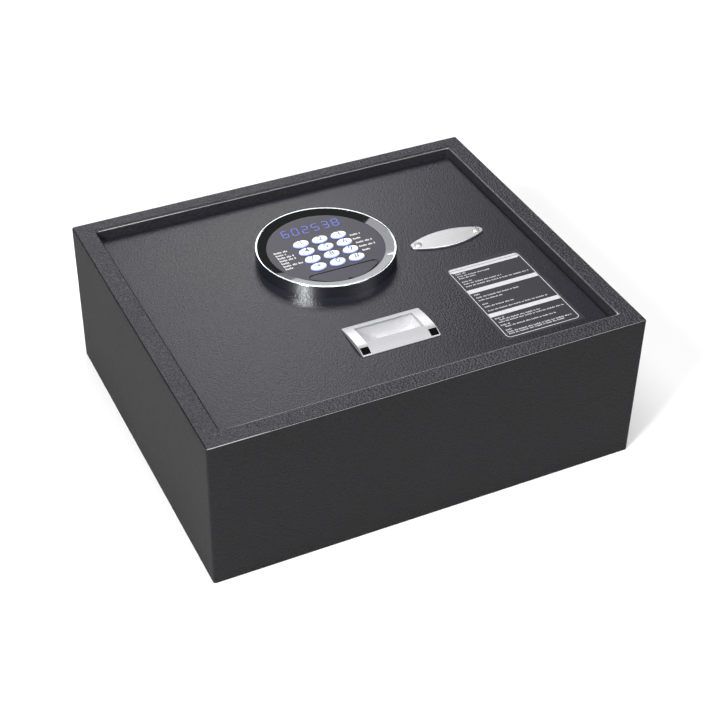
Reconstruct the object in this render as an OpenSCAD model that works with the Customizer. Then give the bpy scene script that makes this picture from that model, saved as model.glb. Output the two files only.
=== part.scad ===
// Drawer safe with a recessed, upward opening lid, a round keypad and two sliding bolts.
// Millimetres. X runs to the right along the front, Y to the back and Z up.
// The origin is the middle of the underside.

/* [Case] */
// Width of the case over its side walls
case_w = 400; // [380:1:460]
// Depth of the case, front to back
case_d = 340; // [320:1:400]
// Height of the case
case_h = 145; // [140:1:190]
// Thickness of the folded steel sheet
sheet_t = 2; // [1.5:0.1:2.5]
// Width of the rim folded in round the lid
rim_w = 18; // [17:0.5:22]
// Height of the lip folded down at the rim's inner edge
lip_drop = 14; // [13:0.5:16]
// Outside radius of the upright corners
corner_r = 2.5; // [2.2:0.1:4]
// Radius of the fold round the top of the case
edge_r = 1.5; // [0.8:0.1:2]
// Radius of the fold at the rim's inner edge
rim_edge_r = 1.2; // [0.6:0.1:1.5]
// Thickness of the carpet mat on the floor
mat_t = 3; // [2:0.5:5]
// Distance between the floor fixing holes, left to right
fixing_dx = 260; // [200:5:320]
// Distance between the floor fixing holes, front to back
fixing_dy = 180; // [120:5:260]
// Diameter of a floor fixing hole
fixing_d = 10; // [8:0.5:12]

/* [Lid] */
// Thickness of the lid plate
lid_t = 4; // [3.5:0.1:5]
// Depth of the lid's face below the rim
lid_recess = 8; // [7:0.5:9]
// Gap round the lid at the sides and the front
lid_gap = 2; // [1.5:0.1:3]
// Gap behind the lid
lid_gap_back = 2.5; // [2.3:0.1:4]
// Rounding of the lid's top edge
lid_edge_r = 1; // [0.5:0.1:1.5]
// Width of a buffer that the closed lid rests on
buffer_d = 10; // [8:0.5:12]

/* [Hinge] */
// Distance of the hinge axis from the rim's inner edge at the back
hinge_inset = 27; // [24:0.5:30]
// Depth of the hinge axis below the lid plate
hinge_drop = 7; // [6.8:0.1:8]
// Diameter of a hinge pin
pin_d = 6; // [5:0.1:6.5]
// Thickness of the hinge bracket and the lid's ear
cheek_t = 3; // [2.5:0.1:3.5]
// Greatest opening of the lid, in degrees
lid_open = 95; // [80:1:95]

/* [Keypad] */
// Place of the keypad's middle, left to right
ring_x = -3; // [-20:1:20]
// Place of the keypad's middle, front to back
ring_y = 40; // [34:1:48]
// Outer diameter of the bezel ring
ring_d = 128; // [126:1:132]
// Height of the bezel ring above the lid
ring_h = 12; // [11:0.5:14]
// Diameter of the fascia inside the ring
fascia_d = 107; // [106:0.5:109]
// Depth of the fascia below the top of the ring
fascia_drop = 2.2; // [1.5:0.1:3]
// Length of a key
key_w = 15; // [13:0.5:16]
// Depth of a key, front to back
key_d = 9.6; // [8:0.2:10]
// Height of a key above the fascia
key_up = 2.3; // [1.5:0.1:3]
// Rounding of a key's top edge
key_round = 1.9; // [0.8:0.1:2.2]
// Travel of a key
key_travel = 1; // [0.5:0.1:1]
// Distance between two columns of keys
key_dx = 18.6; // [18:0.1:20]
// Distance between two rows of keys
key_dy = 12.9; // [12.6:0.1:13.4]
// Place of the top row, behind the keypad's middle
key_top_y = 13.2; // [12:0.1:14]
// Length of the display window
display_w = 59; // [50:1:60]
// Depth of the display window, front to back
display_d = 13.4; // [11:0.1:14]
// Place of the display, behind the keypad's middle
display_y = 34.6; // [33:0.1:35]

/* [Handle] */
// Length of the pull handle's frame
pull_w = 73; // [66:1:80]
// Depth of the frame, front to back
pull_d = 42.6; // [40:0.2:46]
// Place of the frame's middle, left to right
pull_x = -0.5; // [-10:0.5:10]
// Distance of the frame's middle behind the lid's front edge
pull_inset = 64.1; // [58:0.1:66]
// Width of the frame beside the finger opening
pull_side = 9; // [8.5:0.5:14]
// Depth of the finger opening, front to back
pull_open_d = 23; // [20:0.5:26]
// Depth of the finger cup below the lid's face
cup_depth = 20; // [16:0.5:22]
// Height of the frame's crest above the lid
pull_crest = 4; // [3.5:0.1:6]

/* [Override lock] */
// Place of the oval cover plate, right of the middle of the lid's right half
plate_off = 20; // [18:0.5:24]
// Place of the oval cover plate, front to back
plate_y = 20; // [10:1:26]
// Length of the cover plate
plate_w = 74; // [70:1:80]
// Depth of the cover plate, front to back
plate_d = 25; // [24.5:0.1:30]
// Thickness of the cover plate
plate_t = 1.8; // [1.2:0.1:2.5]
// Distance between the cover plate's two screws
plate_pitch = 59.5; // [54:0.5:60]

/* [Bolt work] */
// Diameter of a bolt
bolt_d = 16; // [12:0.5:16]
// Distance of each bolt from the override lock's line, towards the middle
bolt_in = 5; // [-2:0.5:8]
// Travel of the bolts
bolt_throw = 15; // [12:0.5:15]
// Thickness of the bar and its racks
rack_t = 8; // [6:0.5:8]
// Tooth size of the racks and pinions, as pitch diameter over tooth count
gear_m = 1; // [0.9:0.05:1]
// Teeth on the motor's pinion
drive_teeth = 18; // [17:1:18]
// Teeth on the override pinion
override_teeth = 19; // [17:1:19]

/* [Lock cover] */
// Room beside the pan, out to the lid's side edge
cover_side = 30; // [25:0.5:32]
// Depth of the pan below the lid plate
cover_h = 35; // [34:0.5:38]
// Thickness of the pan's sheet
cover_t = 1.2; // [1:0.1:1.5]

/* [Label] */
// Width of the film label
label_w = 77.5; // [60:0.5:80]
// Length of the film label, front to back
label_d = 116; // [90:1:120]

/* [Hidden] */
$fn = 48;
over = 1;              // how far a cut runs past the face that it opens
fit = 0.3;             // clearance of loose trim in its opening
run = 0.05;            // radial clearance of a shaft in its bearing
rest = 0.1;            // gap under a part that only rests

// Heights
lip_z = case_h - lip_drop;
lid_top = case_h - lid_recess;
lid_under = lid_top - lid_t;

// Outlines of the rim and the lid
wall_x = case_w / 2 - sheet_t;
rim_x = case_w / 2 - rim_w;
rim_y = case_d / 2 - rim_w;
lid_x = rim_x - lid_gap;
lid_front = -(rim_y - lid_gap);
lid_back = rim_y - lid_gap_back;
lid_mid_y = (lid_back + lid_front) / 2;

// Hinge
hinge_y = rim_y - hinge_inset;
hinge_z = lid_under - hinge_drop;
side_gap = 1;                                     // between the lid's side and the cheek
cheek_in = lid_x + side_gap;
cheek_out = cheek_in + cheek_t;
cheek_top = lip_z - 0.6;
lid_tail = lid_back - hinge_y;
tail_r = norm([lid_tail, hinge_drop + lid_t]);
shelf_top = hinge_z - tail_r - 0.6;
shelf_bottom = shelf_top - cheek_t;
bracket_front = hinge_y - 18;
bracket_back = hinge_y + 12;
weld_flange_h = 26;
stop_lean = lid_open + 1.3 - 90;                  // the lid's angle past upright at the stop
stop_depth = lid_tail - 2.5;                      // depth of the stop's top below the axis
stop_y = hinge_y + (hinge_drop - stop_depth * sin(stop_lean)) / cos(stop_lean);
stop_in = cheek_in - 13;
clip_t = 0.8;
clip_x = lid_x - cheek_t - 1.2 * clip_t;          // outer face of a retaining clip
pin_end = clip_x - 2 * clip_t;
pin_head_d = min(pin_d + 2.6, 2 * (lip_z - 0.5 - hinge_z));
pin_head_t = 1.8;

// Lid rests
buffer_h = 4;
tab_top = lid_under - buffer_h;
tab_reach = 16;
tab_w = 20;
tab_ys = [lid_front + 30, hinge_y - 80];

// Screws
screw_d = 3.8;
screw_head_d = 7.2;
screw_head_h = 2.4;
screw_bite = 2.4;                                 // length of thread in the lid plate
screw_slack = 0.2;                                // of a shank in its hole

// Keypad stack, from the lid's face up
ring_r = ring_d / 2;
ring_top = lid_top + ring_h;
ring_wall = 4;
ring_round = 0.8;
ring_lip_w = 1.1;
groove_w = 0.9;
groove_deep = 0.6;
fascia_r = fascia_d / 2;
fascia_top = ring_top - fascia_drop;
fascia_t = 3.2;
fascia_bottom = fascia_top - fascia_t;
fascia_flange_r = fascia_r + 3.5;
fascia_flange_t = 2;
ring_lip_z = fascia_bottom + fascia_flange_t;
base_r = ring_r - ring_wall - 0.2;
base_t = 2;
board_t = 1.2;
mat_sheet_t = 0.5;
key_flange_t = 0.8;
key_flange_z = fascia_bottom - rest - key_flange_t;
board_z = key_flange_z - key_travel - rest - mat_sheet_t - board_t;
board_r = fascia_r - 1.5;
board_plug_h = 0.8;                               // plug block under the board
key_flange = 0.8;                                 // how far the flange stands out
key_top = fascia_top + key_up;
window_t = 0.9;
window_top = fascia_top - 0.2;
stud_r = 48;
stud_d = 4.8;
stud_angles = [30, 150, 270];
nut_w = 8;
nut_h = 4;

// Service port under its hinged cover
port_edge_y = -34.9;                              // the cover's straight edge
port_arc_r = 46;
port_arc_y = -7.5;
port_corner_r = 3.5;
port_t = 1.5;
port_axis_y = port_edge_y - port_t / 2;
port_axis_z = fascia_top - port_t / 2;
port_corner_y = port_edge_y - port_corner_r;
port_corner_x = sqrt(pow(port_arc_r - port_corner_r, 2) - pow(port_corner_y - port_arc_y, 2));
port_pin_r = 0.4;
port_swing_gap = 0.9;                             // keeps the cover's corners clear as it swings
port_pin_l = 3.5;
port_well_w = 38;
port_well_d = 9;
port_well_y = -42.5;

// Pull handle
pull_r = 1.2;                                     // rounding of the frame's corners
pull_y = lid_front + pull_inset;
pull_open_w = pull_w - 2 * pull_side;
pull_back = pull_y + pull_d / 2;
pull_front = pull_y - pull_d / 2;
pull_edge_h = 0.6;                                // height of the frame's front and back edges
crest_y = pull_front + 13.2;
pull_open_back = pull_back - 5.6;
pull_open_front = pull_open_back - pull_open_d;
cup_t = 1.2;
cup_top = lid_top;
cup_bottom = lid_top - cup_depth;
cup_back = pull_open_back + 0.3;
cup_front = pull_front + 2.9;
cup_cove_r = 12;
insert_w = 7.6;
insert_d = 7.4;
insert_edge = 0.7;
insert_floor = lid_top + 1.2;
pull_screw_x = pull_w / 2 - 3.8;
pull_screw_y = pull_y + 1;

// Bolt work
bolt_r = bolt_d / 2;
bolt_z = lip_z - 1 - bolt_r;
bolt_front = lid_front + 1;                       // the bolts' ends when drawn back
bolt_l = 99;                                      // bolt in front of the bar
bar_front = bolt_front + bolt_l;
bar_back = bar_front + 16;
bar_over = 13;                                    // bar past each bolt's centre line
spigot_r = 5;
bolt_nut_w = 17;
bolt_nut_h = 6;
rack_top = bolt_z + rack_t / 2;
rack_bottom = bolt_z - rack_t / 2;
drive_r = gear_m * drive_teeth / 2;
override_r = gear_m * override_teeth / 2;
plate_x = lid_x / 2 + plate_off;
bolt_x = plate_x - bolt_in;
arm_right = plate_x - override_r;                 // pitch line of the override rack
arm_w = 14.5;                                     // between the two pitch lines
arm_left = arm_right - arm_w;
drive_x = arm_left - drive_r;
drive_y = -5;
backlash = 0.3;
tooth_pitch = PI * gear_m;
teeth_before = 3;                                 // rack teeth in front of the pinion
teeth_behind = ceil(bolt_throw / tooth_pitch) + 3;
guide_l = 22;
guide_w = 28;
guide_y = lid_front + 22;
guide_flange_w = 48;
guide_flange_t = 2;
guide_screw_x = 19;
arm_guide_l = 12;
arm_screw_in = 8.25;                              // screw's distance from the rack's tips
arm_screw_x = arm_w / 2 + gear_m + arm_screw_in;
arm_flange_edge = 4.5;                            // flange past each screw
arm_flange_w = 2 * (arm_screw_x + arm_flange_edge);

// Motor
motor_r = 12;
motor_h = 16;
bracket_t = 1.5;
motor_top = rack_bottom - 0.5 - bracket_t;
motor_bottom = motor_top - motor_h;
shaft_r = 2;
bracket_x = drive_x - 25;
bracket_w = 24;
bracket_tab = 13;
bracket_screw_in = 7;

// Override lock
lock_r = 9.5;
lock_flange_r = 11;
lock_flange_t = 1.5;
lock_bottom = rack_top + 1;
plug_r = 6;
plug_tail_r = 3.5;
lock_nut_w = 24;
lock_nut_h = 4.5;
hub_h = 4;
plate_end_r = 5;
plate_bevel = 0.5;
plate_end_lap = 0.01;                              // keeps its end rounds' seams clean cuts

// Lock cover
cover_w = 2 * (lid_x - cover_side);
cover_front = lid_front + 9;
cover_r = 6;
cover_flange = 8;
cover_bottom = lid_under - cover_h;

// Batteries
cell_r = 7.15;
cell_l = 50.5;
cell_pitch = 15;
cells = 4;
pack_w = cells * cell_pitch + 2;
pack_l = cell_l + 5.5;
pack_t = 1.5;
pack_bottom = cover_bottom + cover_t + 1.8;
pack_top = pack_bottom + 2 * cell_r + 3;
door_over = 4;
lug_l = 12;
lug_gap = 4;                                      // behind the bar
pack_side = 9.8;                                  // room between the pan's wall and the holder
pack_x = -cover_w / 2 + cover_t + pack_side + pack_w / 2;
pack_y = bar_back + lug_gap + lug_l + pack_l / 2;

// Control board
control_w = 56;
control_d = 42;
control_x = pack_x - 4;
control_y = pack_y + pack_l / 2 + lug_l + control_d / 2 - 1;
spacer_h = 7;
board_blocks = [[-20, 8, 14, 7, 6], [4, 6, 16, 12, 9], [2, -14, 12, 12, 1.6]];
board_can_r = 4;
board_can_h = 11;

// Reach of the pan and of the arm to the back
cover_over = 9;                                   // pan past the control board
cover_screw_front = 13;
cover_screw_back = 14;
arm_end_gap = 8;                                  // arm's end to the pan's back wall
arm_guide_in = 32;                                // guide's middle to the pan's back wall
cover_back = control_y + control_d / 2 + cover_over;
cover_screw_first = cover_front + cover_screw_front;
cover_screw_last = cover_back - cover_screw_back;
cover_screw_ys = [cover_screw_first, (cover_screw_first + cover_screw_last) / 2 + 1, cover_screw_last];
arm_back = cover_back - arm_end_gap;
arm_guide_y = cover_back - arm_guide_in;

label_side = 20;                                  // out to the lid's side edge
label_inset = 13;                                 // out to the lid's front edge
label_x = lid_x - label_side - label_w / 2;
label_y = lid_front + label_inset + label_d / 2;
label_t = 0.15;

key_rows = [0, 1, 2, 3];
key_cols = [-1, 0, 1];

// Rectangle with round corners, centred
module rounded(w, d, r) {
    square([w - 2 * r, d], center = true);
    square([w, d - 2 * r], center = true);
    for (x = [-1, 1], y = [-1, 1])
        translate([x * (w / 2 - r), y * (d / 2 - r)]) circle(r = r);
}

// Outline d wide and r high whose two top corners are round, centred on X
module crowned(d, r) {
    translate([-d / 2 + r, 0]) square([d - 2 * r, r]);
    intersection() {
        for (x = [-1, 1]) translate([x * (d / 2 - r), 0]) circle(r = r);
        translate([-d / 2, 0]) square([d, r]);
    }
}

// Block with upright corners of radius big_r and a top edge of radius r
module soft_block(w, d, h, big_r, r) {
    linear_extrude(h - r) rounded(w, d, big_r);
    translate([0, 0, h - r]) {
        translate([-(w / 2 - big_r), 0, 0]) rotate([90, 0, 90])
            linear_extrude(w - 2 * big_r) crowned(d, r);
        translate([0, d / 2 - big_r, 0]) rotate([90, 0, 0])
            linear_extrude(d - 2 * big_r) crowned(w, r);
        for (x = [-1, 1], y = [-1, 1])
            translate([x * (w / 2 - big_r), y * (d / 2 - big_r), 0]) rotate_extrude()
                intersection() {
                    crowned(2 * big_r, r);
                    square([big_r, r]);
                }
    }
}

// Outline that widens by a quarter round of radius r below y = 0, centred on X
module flared(d, r) {
    difference() {
        translate([-d / 2 - r, -r]) square([d + 2 * r, r + over]);
        for (x = [-1, 1]) translate([x * (d / 2 + r), -r]) circle(r = r);
    }
}

// Cutter for an opening whose top edge gets a radius r; z = 0 is the top face
module soft_opening(w, d, depth, big_r, r) {
    translate([0, 0, -depth]) linear_extrude(depth + over) rounded(w, d, big_r);
    translate([-(w / 2 - big_r), 0, 0]) rotate([90, 0, 90])
        linear_extrude(w - 2 * big_r) flared(d, r);
    translate([0, d / 2 - big_r, 0]) rotate([90, 0, 0])
        linear_extrude(d - 2 * big_r) flared(w, r);
    for (x = [-1, 1], y = [-1, 1])
        translate([x * (w / 2 - big_r), y * (d / 2 - big_r), 0]) rotate_extrude()
            intersection() {
                flared(2 * big_r, r);
                translate([0, -r]) square([big_r + r, r + over]);
            }
}

// Disc of radius r and height h, with a bevelled or soft top edge and a flange at its foot
module edged_disc(r, h, edge, soft, flange) {
    if (soft) rotate_extrude($fn = 96) {
        square([r, h - edge]);
        square([r - edge, h]);
        translate([r - edge, h - edge]) intersection() {
            circle(r = edge);
            square(edge);
        }
        square([r + flange[0], flange[1]]);
    } else {
        cylinder(r = r, h = h - edge, $fn = 96);
        if (edge > 0) translate([0, 0, h - edge])
            cylinder(r1 = r, r2 = r - edge, h = edge, $fn = 96);
    }
}

// Oval of four arcs: half length a, half width b and end radius r2
module oval_plate(a, b, r2, h, edge = 0, soft = false, flange = [0, 0], end_lap = 0) {
    c = a - r2;
    big_r = (c * c + b * b - r2 * r2) / (2 * (b - r2));
    reach = 2 * a / c;
    for (x = [-1, 1]) translate([x * c, 0, 0]) edged_disc(r2 + end_lap, h, edge, soft, flange);
    for (side = [0, 1]) mirror([0, side, 0]) intersection() {
        translate([0, b - big_r, 0]) edged_disc(big_r, h, edge, soft, flange);
        translate([0, 0, -over]) linear_extrude(h + 2 * over)
            polygon([[-c, 0], [c, 0], [c * reach, (big_r - b) * (reach - 1)],
                [-c * reach, (big_r - b) * (reach - 1)]]);
    }
}

// Involute pinion with a tooth on the X axis, turned by phase
module pinion(teeth, phase) {
    r = gear_m * teeth / 2;
    base = r * cos(20);
    tip = r + gear_m;
    root = r - 1.25 * gear_m;
    half_base = 90 / teeth - backlash / 4 / r * 180 / PI + (tan(20) * 180 / PI - 20);
    steps = 4;
    function spread(rho) = let(t = sqrt(pow(rho / base, 2) - 1)) t * 180 / PI - atan(t);
    rhos = [for (i = [0:steps]) base + (tip - base) * i / steps];
    function at(rho, angle) = [rho * cos(angle), rho * sin(angle)];
    polygon([for (k = [0:teeth - 1]) let(mid = 360 * k / teeth + phase)
        each concat([at(root, mid - half_base)],
            [for (rho = rhos) at(rho, mid - half_base + spread(rho))],
            [for (i = [steps:-1:0]) at(rhos[i], mid + half_base - spread(rhos[i]))],
            [at(root, mid + half_base)])]);
}

// Space between two rack teeth, open to +X, on the pitch line x = 0
module rack_gap() {
    half = tooth_pitch / 4 + backlash / 4;
    rise = 1.25 * gear_m;
    top = gear_m + over;
    polygon([[-rise, -half + rise * tan(20)], [-rise, half - rise * tan(20)],
        [top, half + top * tan(20)], [top, -half - top * tan(20)]]);
}

// Gaps of one rack, with a tooth centred on the pinion
module rack_gaps() {
    for (k = [-teeth_before:teeth_behind]) translate([0, (k + 0.5) * tooth_pitch]) rack_gap();
}

// Pan head screw whose head hangs below z = 0 and whose shank rises by len
module screw(len) {
    difference() {
        union() {
            cylinder(d = screw_d, h = len);
            translate([0, 0, -screw_head_h]) cylinder(d = screw_head_d, h = screw_head_h);
        }
        cross_recess(-screw_head_h, 1);
    }
}

// Cross recess cut into a head whose face is at z; dir is 1 when the recess goes up
module cross_recess(z, dir) {
    deep = 1.2;
    for (a = [0, 90]) rotate([0, 0, a])
        translate([-2, -0.4, dir > 0 ? z - over : z - deep]) cube([4, 0.8, deep + over]);
}

// Places of the screws that go up into the lid plate from below
cover_screw_places = [for (x = [-1, 1], y = cover_screw_ys) [x * (cover_w + cover_flange) / 2, y]];
guide_screw_places = [for (side = [-1, 1], x = [-1, 1]) [side * bolt_x + x * guide_screw_x, guide_y]];
arm_mid = (arm_left + arm_right) / 2;
arm_screw_places = [for (x = [-1, 1]) [arm_mid + x * arm_screw_x, arm_guide_y]];
bracket_screw_places = [for (y = [-1, 1]) [bracket_x - bracket_screw_in, drive_y + y * bracket_screw_in]];
pack_screw_places = [for (y = [-1, 1]) [pack_x, pack_y + y * (pack_l / 2 + lug_l / 2)]];
inner_places = concat(guide_screw_places, arm_screw_places, pack_screw_places);

// The folded case: four walls, the rim and its turned-down lip
module body_shell() {
    color([0.27, 0.27, 0.29]) difference() {
        soft_block(case_w, case_d, case_h, corner_r, edge_r);
        difference() {
            translate([0, 0, -over]) linear_extrude(case_h - sheet_t + over)
                rounded(2 * wall_x, case_d - 2 * sheet_t, corner_r - sheet_t);
            translate([0, 0, lip_z]) linear_extrude(case_h)
                rounded(2 * (rim_x + sheet_t), 2 * (rim_y + sheet_t), corner_r + sheet_t);
        }
        translate([0, 0, case_h])
            soft_opening(2 * rim_x, 2 * rim_y, lip_drop + over, corner_r, rim_edge_r);
    }
}

// The floor, welded inside the walls, with four fixing holes
module base_plate() {
    color([0.25, 0.25, 0.27]) difference() {
        linear_extrude(sheet_t)
            rounded(2 * wall_x, case_d - 2 * sheet_t, corner_r - sheet_t);
        for (x = [-1, 1], y = [-1, 1])
            translate([x * fixing_dx / 2, y * fixing_dy / 2, -over])
                cylinder(d = fixing_d, h = sheet_t + 2 * over);
    }
}

// Carpet mat, with a wide hole round each fixing
module floor_mat() {
    color([0.12, 0.12, 0.13]) translate([0, 0, sheet_t]) difference() {
        linear_extrude(mat_t) rounded(2 * (wall_x - 1), case_d - 2 * sheet_t - 2, 4);
        for (x = [-1, 1], y = [-1, 1])
            translate([x * fixing_dx / 2, y * fixing_dy / 2, -over])
                cylinder(d = fixing_d + 10, h = mat_t + 2 * over);
    }
}

// A bracket on each side wall: weld flange, shelf, pin cheek and the lid's stop
module hinge_brackets() {
    module one() {
        difference() {
            union() {
                translate([wall_x - cheek_t, bracket_front, shelf_bottom])
                    cube([cheek_t, bracket_back - bracket_front, weld_flange_h]);
                translate([cheek_in, bracket_front, shelf_bottom])
                    cube([wall_x - cheek_in, bracket_back - bracket_front, cheek_t]);
                translate([cheek_in, hinge_y - 12, shelf_bottom])
                    cube([cheek_t, 22, cheek_top - shelf_bottom]);
                translate([stop_in, stop_y - 16, shelf_bottom])
                    cube([cheek_in - stop_in + over, 16, cheek_t]);
                translate([stop_in, stop_y - cheek_t, shelf_bottom])
                    cube([cheek_in - stop_in + over, cheek_t, hinge_z - stop_depth - shelf_bottom]);
            }
            translate([cheek_in - over, hinge_y, hinge_z]) rotate([0, 90, 0])
                cylinder(d = pin_d + 2 * 0.02, h = cheek_t + 2 * over);
        }
    }
    color([0.45, 0.46, 0.48]) {
        one();
        mirror([1, 0, 0]) one();
    }
}

// Headed pins that the lid turns on, each with a groove for its clip
module hinge_pins() {
    module one() {
        rotate([0, 90, 0]) difference() {
            union() {
                translate([0, 0, pin_end]) cylinder(d = pin_d, h = cheek_out - pin_end);
                translate([0, 0, cheek_out]) cylinder(d = pin_head_d, h = pin_head_t);
            }
            translate([0, 0, clip_x - clip_t]) difference() {
                cylinder(d = pin_d + over, h = clip_t);
                cylinder(d = pin_d - 1.4, h = clip_t);
            }
        }
    }
    color([0.7, 0.71, 0.73]) translate([0, hinge_y, hinge_z]) {
        one();
        mirror([1, 0, 0]) one();
    }
}

// Retaining clips, open towards the front
module hinge_clips() {
    module one() {
        translate([clip_x - clip_t, 0, 0]) rotate([0, 90, 0]) difference() {
            cylinder(d = pin_d + 3, h = clip_t);
            translate([0, 0, -over]) cylinder(d = pin_d - 1.3, h = clip_t + 2 * over);
            translate([-pin_d * 0.32, -pin_d, -over])
                cube([pin_d * 0.64, pin_d, clip_t + 2 * over]);
        }
    }
    color([0.35, 0.35, 0.38]) translate([0, hinge_y, hinge_z]) {
        one();
        mirror([1, 0, 0]) one();
    }
}

// Angle tabs on the back of the lip, which carry the closed lid's buffers
module lid_rest_tabs() {
    module one(y) {
        difference() {
            union() {
                translate([rim_x + sheet_t, y - tab_w / 2, tab_top - sheet_t])
                    cube([sheet_t, tab_w, lip_drop - 4]);
                translate([rim_x - tab_reach, y - tab_w / 2, tab_top - sheet_t])
                    cube([tab_reach + sheet_t + over, tab_w, sheet_t]);
            }
            translate([rim_x - tab_reach / 2, y, tab_top - sheet_t - over])
                cylinder(d = buffer_d / 2, h = sheet_t + 2 * over);
        }
    }
    color([0.27, 0.27, 0.29]) for (y = tab_ys) {
        one(y);
        mirror([1, 0, 0]) one(y);
    }
}

// Rubber buffers plugged into the tabs
module lid_buffers() {
    color([0.08, 0.08, 0.08]) for (side = [-1, 1], y = tab_ys)
        translate([side * (rim_x - tab_reach / 2), y, tab_top]) {
            cylinder(d = buffer_d, h = buffer_h - 2 * rest);
            translate([0, 0, -sheet_t - 1]) cylinder(d = buffer_d / 2 - 0.1, h = sheet_t + 1 + over);
        }
}

// The lid: a thick plate with the openings for everything that it carries
module lid_plate() {
    color([0.34, 0.34, 0.37]) difference() {
        translate([0, lid_mid_y, lid_under])
            soft_block(2 * lid_x, lid_back - lid_front, lid_t, corner_r, lid_edge_r);
        translate([pull_x, (cup_back + cup_front) / 2, lid_under - over])
            linear_extrude(lid_t + 2 * over)
                square([pull_open_w + 2 * cup_t + 0.4, cup_back - cup_front + 2 * cup_t + 0.4],
                    center = true);
        translate([ring_x, ring_y, lid_under - over]) {
            translate([0, 10, 0]) cylinder(r = 7, h = lid_t + 2 * over);
            for (a = stud_angles) rotate([0, 0, a]) translate([stud_r, 0, 0])
                cylinder(d = stud_d + 0.6, h = lid_t + 2 * over);
        }
        translate([plate_x, plate_y, 0]) {
            translate([0, 0, lid_under - over]) cylinder(r = lock_r + 0.1, h = lid_t + 2 * over);
            translate([0, 0, lid_top - lock_flange_t - 0.1])
                cylinder(r = lock_flange_r + 0.2, h = lock_flange_t + 0.1 + over);
            for (x = [-1, 1]) translate([x * plate_pitch / 2, 0, lid_under - over])
                cylinder(d = screw_d + screw_slack, h = lid_t + 2 * over);
        }
        for (x = [-1, 1]) translate([pull_x + x * pull_screw_x, pull_screw_y, lid_under - over])
            cylinder(d = screw_d + screw_slack, h = lid_t + 2 * over);
        for (p = concat(cover_screw_places, inner_places, bracket_screw_places))
            translate([p[0], p[1], lid_under - over])
                cylinder(d = screw_d + screw_slack, h = screw_bite + 0.3 + over);
    }
}

// Ears welded under the lid, which turn on the hinge pins
module hinge_ears() {
    ear_r = hinge_drop - 1;
    ear_foot = 2 * hinge_drop - 1;
    module one() {
        difference() {
            union() {
                translate([lid_x - cheek_t, hinge_y, hinge_z]) rotate([90, 0, 90])
                    linear_extrude(cheek_t) polygon([[-ear_foot, hinge_drop], [-ear_r, 0], [ear_r, 0],
                        [ear_foot, hinge_drop]]);
                translate([lid_x - cheek_t, hinge_y, hinge_z]) rotate([0, 90, 0])
                    cylinder(r = ear_r, h = cheek_t);
            }
            translate([lid_x - cheek_t - over, hinge_y, hinge_z]) rotate([0, 90, 0])
                cylinder(d = pin_d + 2 * run, h = cheek_t + 2 * over);
        }
    }
    color([0.34, 0.34, 0.37]) {
        one();
        mirror([1, 0, 0]) one();
    }
}

// Chromed ring: upright wall, bright top lip, a fine groove and a cone down to the fascia
module bezel_ring() {
    cone_out = ring_r - ring_lip_w - groove_w;
    color([0.8, 0.81, 0.83]) translate([ring_x, ring_y, 0]) rotate_extrude($fn = 128)
        difference() {
            union() {
                polygon([[ring_r - ring_wall, lid_top], [ring_r, lid_top],
                    [ring_r, ring_top - ring_round], [ring_r - ring_round, ring_top],
                    [cone_out, ring_top], [fascia_r + fit, fascia_top + 0.2],
                    [fascia_r + fit, ring_lip_z], [ring_r - ring_wall, ring_lip_z]]);
                translate([ring_r - ring_round, ring_top - ring_round]) circle(r = ring_round);
            }
            translate([ring_r - ring_lip_w - groove_w, ring_top - groove_deep])
                square([groove_w, groove_deep + over]);
        }
}

// Moulded base inside the ring, with the studs that hold the keypad to the lid
module keypad_base() {
    ledge_r = fascia_flange_r + 0.2;
    color([0.16, 0.16, 0.18]) translate([ring_x, ring_y, 0]) difference() {
        union() {
            rotate_extrude($fn = 96) polygon([[0, lid_top], [base_r, lid_top],
                [base_r, ring_lip_z - 0.2], [ledge_r, ring_lip_z - 0.2], [ledge_r, fascia_bottom],
                [fascia_r, fascia_bottom], [fascia_r, lid_top + base_t], [0, lid_top + base_t]]);
            for (a = stud_angles) rotate([0, 0, a]) translate([stud_r, 0, lid_under - 8])
                cylinder(d = stud_d, h = lid_t + 8 + over);
            for (a = [45:90:315]) rotate([0, 0, a]) translate([board_r - 5, 0, lid_top])
                cylinder(r = 3, h = board_z - lid_top);
        }
        translate([0, 10, lid_top - over]) cylinder(r = 6, h = base_t + 2 * over);
    }
}

// Nuts under the lid on the keypad's studs
module keypad_nuts() {
    color([0.75, 0.72, 0.6]) translate([ring_x, ring_y, 0])
        for (a = stud_angles) rotate([0, 0, a]) translate([stud_r, 0, lid_under - nut_h])
            difference() {
                union() {
                    cylinder(r = nut_w / 2 / cos(30), h = nut_h - 1, $fn = 6);
                    translate([0, 0, nut_h - 1]) cylinder(d = nut_w + 2, h = 1);
                }
                translate([0, 0, -over]) cylinder(d = stud_d + 0.1, h = nut_h + 2 * over);
            }
}

// Middle of a key, from its column and its row counted from the back
function key_at(col, row) = [ring_x + col * key_dx, ring_y + key_top_y - row * key_dy];

// Oval of a key
module key_oval(g, h, edge = 0, soft = false, flange = [0, 0]) {
    oval_plate(key_w / 2 + g, key_d / 2 + g, key_d / 2 - 1.4 + g, h, edge, soft, flange);
}

// D outline of the service port's cover, grown by g all round
module port_outline(g) {
    tx = port_corner_x * 1.6;
    ty = port_corner_y + (port_corner_y - port_arc_y) * 0.6;
    intersection() {
        translate([0, port_arc_y]) circle(r = port_arc_r + g, $fn = 128);
        polygon([[-port_corner_x, port_edge_y + g], [port_corner_x, port_edge_y + g],
            [port_corner_x, port_corner_y], [tx, ty], [0, 3 * ty], [-tx, ty],
            [-port_corner_x, port_corner_y]]);
    }
    for (x = [-1, 1]) translate([x * port_corner_x, port_corner_y]) circle(r = port_corner_r + g);
}

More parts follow.
